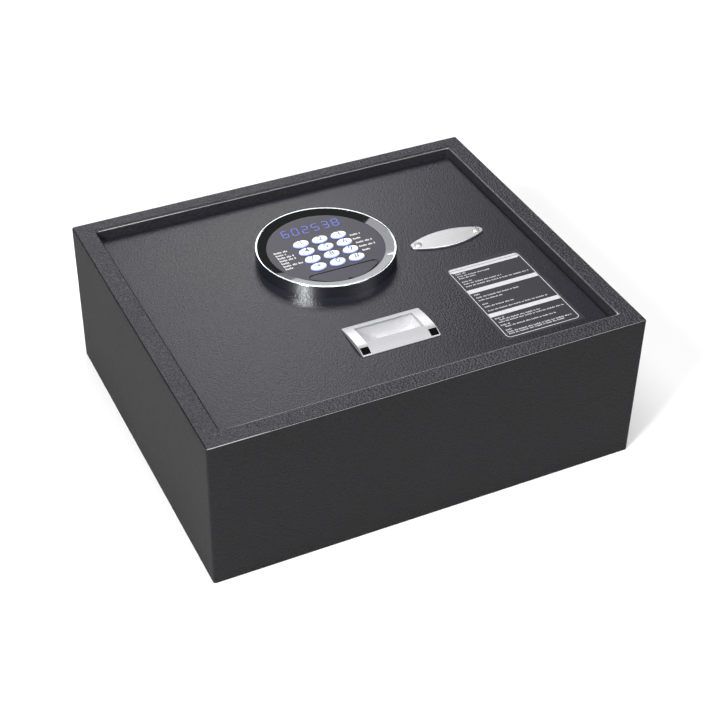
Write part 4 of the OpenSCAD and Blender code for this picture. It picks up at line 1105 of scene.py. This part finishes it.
@dataclass
class UseLabel(SubAssembly):
    """Film label with its frame, bands and rows of plain bars.

    Attributes:
        coats: the finish, with the solid that takes it.
        lift: thickness of the print.
        frame: left, right, front and back of the printed frame.
        line: width of the frame's line.
        corner: radius of its outer corners.
        band_corner: radius of the corners of the bands that cross it.
        bands: front and back of each band, in millimetres.
        text_from: place that the rows are measured from, in millimetres.
        text_size: height of the tallest bar of a row, and spacing of the bars.
        rows: how far forward each row is, its start and its end, in millimetres.
    """

    coats: Coats = (("label_film", "use_label"),)
    lift: float = 0.03 * MM
    frame: tuple[float, ...] = (85.8 * MM, 157.2 * MM, -134 * MM, -25 * MM)
    line: float = 0.65 * MM
    corner: float = 4 * MM
    band_corner: float = 0.3 * MM
    bands: tuple[Pair, ...] = ((-32.5, -25.0), (-65.5, -60.0), (-103.0, -97.8))
    text_from: Pair = (75.0, -10.0)
    text_size: Pair = (1.7 * MM, 1.15 * MM)
    rows: tuple[Triple, ...] = (
        (24.5, 14.5, 24.5), (28.0, 14.5, 47.5), (31.2, 14.5, 31.0), (36.8, 14.5, 25.0),
        (40.3, 14.5, 52.0), (44.2, 14.5, 78.0), (58.3, 14.5, 21.5), (62.8, 14.5, 57.0),
        (67.0, 14.5, 38.5), (73.2, 14.5, 21.0), (77.5, 14.5, 44.0), (83.5, 14.5, 73.5),
        (96.0, 14.0, 23.0), (98.8, 17.0, 57.0), (101.8, 14.5, 79.0), (106.2, 14.0, 23.0),
        (109.0, 17.0, 67.0), (113.7, 14.5, 20.5), (116.7, 14.5, 77.5), (119.2, 14.5, 69.0))

    def build(self, shop: Shop) -> None:
        """Dresses the label and prints it.

        Args:
            shop: the shop's tools.
        """
        super().build(shop)
        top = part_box("use_label")[1].z
        bm = bmesh.new()
        x0, x1, y0, y1 = self.frame
        line, half = self.line, self.line / 2
        band(bm, rounded(x0, x1, y0, y1, self.corner),
             rounded(x0 + line, x1 - line, y0 + line, y1 - line, self.corner - line),
             top, self.lift)
        for place, (low, high) in enumerate(self.bands):
            corner = self.band_corner if place else self.corner
            plate(bm, rounded(x0 + half, x1 - half, low * MM, high * MM, corner), top, self.lift)
        left, back = self.text_from
        for down, start, end in self.rows:
            word_bars(bm, (left + start) * MM, (left + end) * MM, (back - down) * MM,
                      self.text_size, top, self.lift)
        shop.piece("label_print", bm, "white_ink", Body.LID.value)


@dataclass
class BoltWork(SubAssembly):
    """Bolts, bar, guides, motor and override lock under the lid."""

    coats: Coats = (
        ("bright_steel", "bolts", "override_pinion", "drive_pinion"),
        ("milled_steel", "bolt_bar", "bolt_guides"),
        ("zinc_plate", "bolt_nuts", "motor_bracket", "inner_screws", "lock_cover_screws",
         "override_nut"),
        ("acetal", "arm_guide"),
        ("motor_can", "gear_motor"),
        ("machined_brass", "override_cylinder", "override_plug"),
        ("pan_powder_coat", "lock_cover"))


@dataclass
class Electrics(SubAssembly):
    """Control board, battery holder, cells and door."""

    coats: Coats = (
        ("circuit_board", "control_board"),
        ("black_plastic", "battery_holder", "battery_door"),
        ("cell_sleeve", "batteries"))


# ---- studio


@dataclass(frozen=True)
class Softbox:
    """One soft light.

    Attributes:
        name: name of the light.
        place: where it hangs.
        size: width and height.
        glow: how bright its face is, with white paper at 1.
        aim: point that it faces.
    """

    name: str
    place: Triple
    size: Pair
    glow: float
    aim: Triple = (0.0, 0.0, 0.1)

    def hang(self) -> None:
        """Hangs the light."""
        data = bpy.data.lights.new(self.name, "AREA")
        data.shape = "RECTANGLE"
        data.size, data.size_y = self.size
        data.energy = self.glow * math.pi * data.size * data.size_y
        lamp = bpy.data.objects.new(self.name, data)
        lamp.location = self.place
        lamp.rotation_mode = "QUATERNION"
        beam = Vector(self.aim) - Vector(self.place)
        lamp.rotation_quaternion = beam.to_track_quat("-Z", "Y")
        lamp.visible_camera = False
        bpy.context.scene.collection.objects.link(lamp)


@dataclass
class Studio:
    """Camera, floor and soft light.

    Attributes:
        eye: place of the camera.
        forward: direction that it looks in.
        down: direction of the picture's lower edge.
        lens: focal length in millimetres.
        sensor: width of the sensor in millimetres.
        shift: shift of the frame, as a share of its width.
        sight: nearest and farthest distance that the camera sees.
        reach: distance from the middle of the floor to its sides.
        paper: linear grey of the floor where it is darkest and where it is lightest.
        dim: how bright the room is for all but the camera.
        lights: the soft lights.
    """

    eye: Triple = (-0.49198, -1.01629, 0.93154)
    forward: Triple = (0.3351, 0.7171, -0.6111)
    down: Triple = (-0.25435, -0.5557, -0.79152)
    lens: float = 77.95
    sensor: float = 36.0
    shift: Pair = (30 / 720, -12 / 720)
    sight: Pair = (0.02, 60.0)
    reach: float = 3.5
    paper: Pair = (0.94, 0.96)
    dim: float = 0.03
    lights: tuple[Softbox, ...] = (
        Softbox("overhead", (-0.7, -0.4, 4.0), (3.4, 2.8), 4.7, (-0.7, -0.4, 0.0)),
        Softbox("key_left", (-2.05, -1.18, 1.95), (0.55, 0.6), 64.0),
        Softbox("front_right", (1.13, -1.4, 2.6), (1.6, 0.8), 6.4, (1.13, 0.0, 0.1)),
        Softbox("back_right", (1.2, 3.17, 2.66), (1.1, 1.55), 3.8),
        Softbox("back_low", (1.24, 3.1, 1.08), (1.0, 1.15), 0.22),
        Softbox("back_dim", (0.48, 3.6, 2.35), (2.9, 4.5), 0.48, (0.48, 0.0, 2.35)))

    def camera(self) -> None:
        """Sets up the camera."""
        data = bpy.data.cameras.new("camera")
        data.lens = self.lens
        data.sensor_width = self.sensor
        data.shift_x, data.shift_y = self.shift
        data.clip_start, data.clip_end = self.sight
        back = -Vector(self.forward).normalized()
        up = -Vector(self.down)
        up = (up - back * up.dot(back)).normalized()
        right = up.cross(back)
        holder = bpy.data.objects.new("camera", data)
        holder.matrix_world = Matrix((
            (right.x, up.x, back.x, self.eye[0]), (right.y, up.y, back.y, self.eye[1]),
            (right.z, up.z, back.z, self.eye[2]), (0, 0, 0, 1)))
        bpy.context.scene.collection.objects.link(holder)
        bpy.context.scene.camera = holder

    def floor(self) -> None:
        """Lays the pale floor."""
        r = Recipe("pale_floor")
        dark, light = self.paper
        tint = r.mix(r.noise(r.place(), 3.0), (dark,) * 3, (light,) * 3)
        material = r.finish(Base_Color=tint, Roughness=0.7)
        bm = bmesh.new()
        bmesh.ops.create_grid(bm, x_segments=8, y_segments=8, size=self.reach)
        mesh = bpy.data.meshes.new("floor")
        bm.to_mesh(mesh)
        bm.free()
        mesh.materials.append(material)
        made = bpy.data.objects.new("floor", mesh)
        bpy.context.scene.collection.objects.link(made)

    def room(self) -> None:
        """Makes the room dim for all that shines, and white for the camera."""
        world = bpy.data.worlds.new("room")
        world.use_nodes = True
        tree = world.node_tree
        back = tree.nodes["Background"]
        back.inputs["Color"].default_value = (1.0, 1.0, 1.0, 1.0)
        seen = tree.nodes.new("ShaderNodeLightPath")
        level = tree.nodes.new("ShaderNodeMapRange")
        level.inputs["To Min"].default_value = self.dim
        tree.links.new(seen.outputs["Is Camera Ray"], level.inputs["Value"])
        tree.links.new(level.outputs["Result"], back.inputs["Strength"])
        bpy.context.scene.world = world
        bpy.context.scene.view_settings.view_transform = "Standard"

    def build(self) -> None:
        """Sets up the studio."""
        self.camera()
        self.floor()
        self.room()
        for light in self.lights:
            light.hang()


def main() -> None:
    """Builds the studio and every sub-assembly, in order."""
    logging.basicConfig(level=logging.INFO, format="%(message)s")
    studio = Studio()
    studio.build()
    shop = Shop(Finishes())
    for assembly in (SafeCase(), Lid(), Keypad(), PullHandle(), OverridePlate(),
                     UseLabel(), BoltWork(), Electrics()):
        assembly.build(shop)
        log.info("%s is built", type(assembly).__name__)


if __name__ == "__main__":
    main()
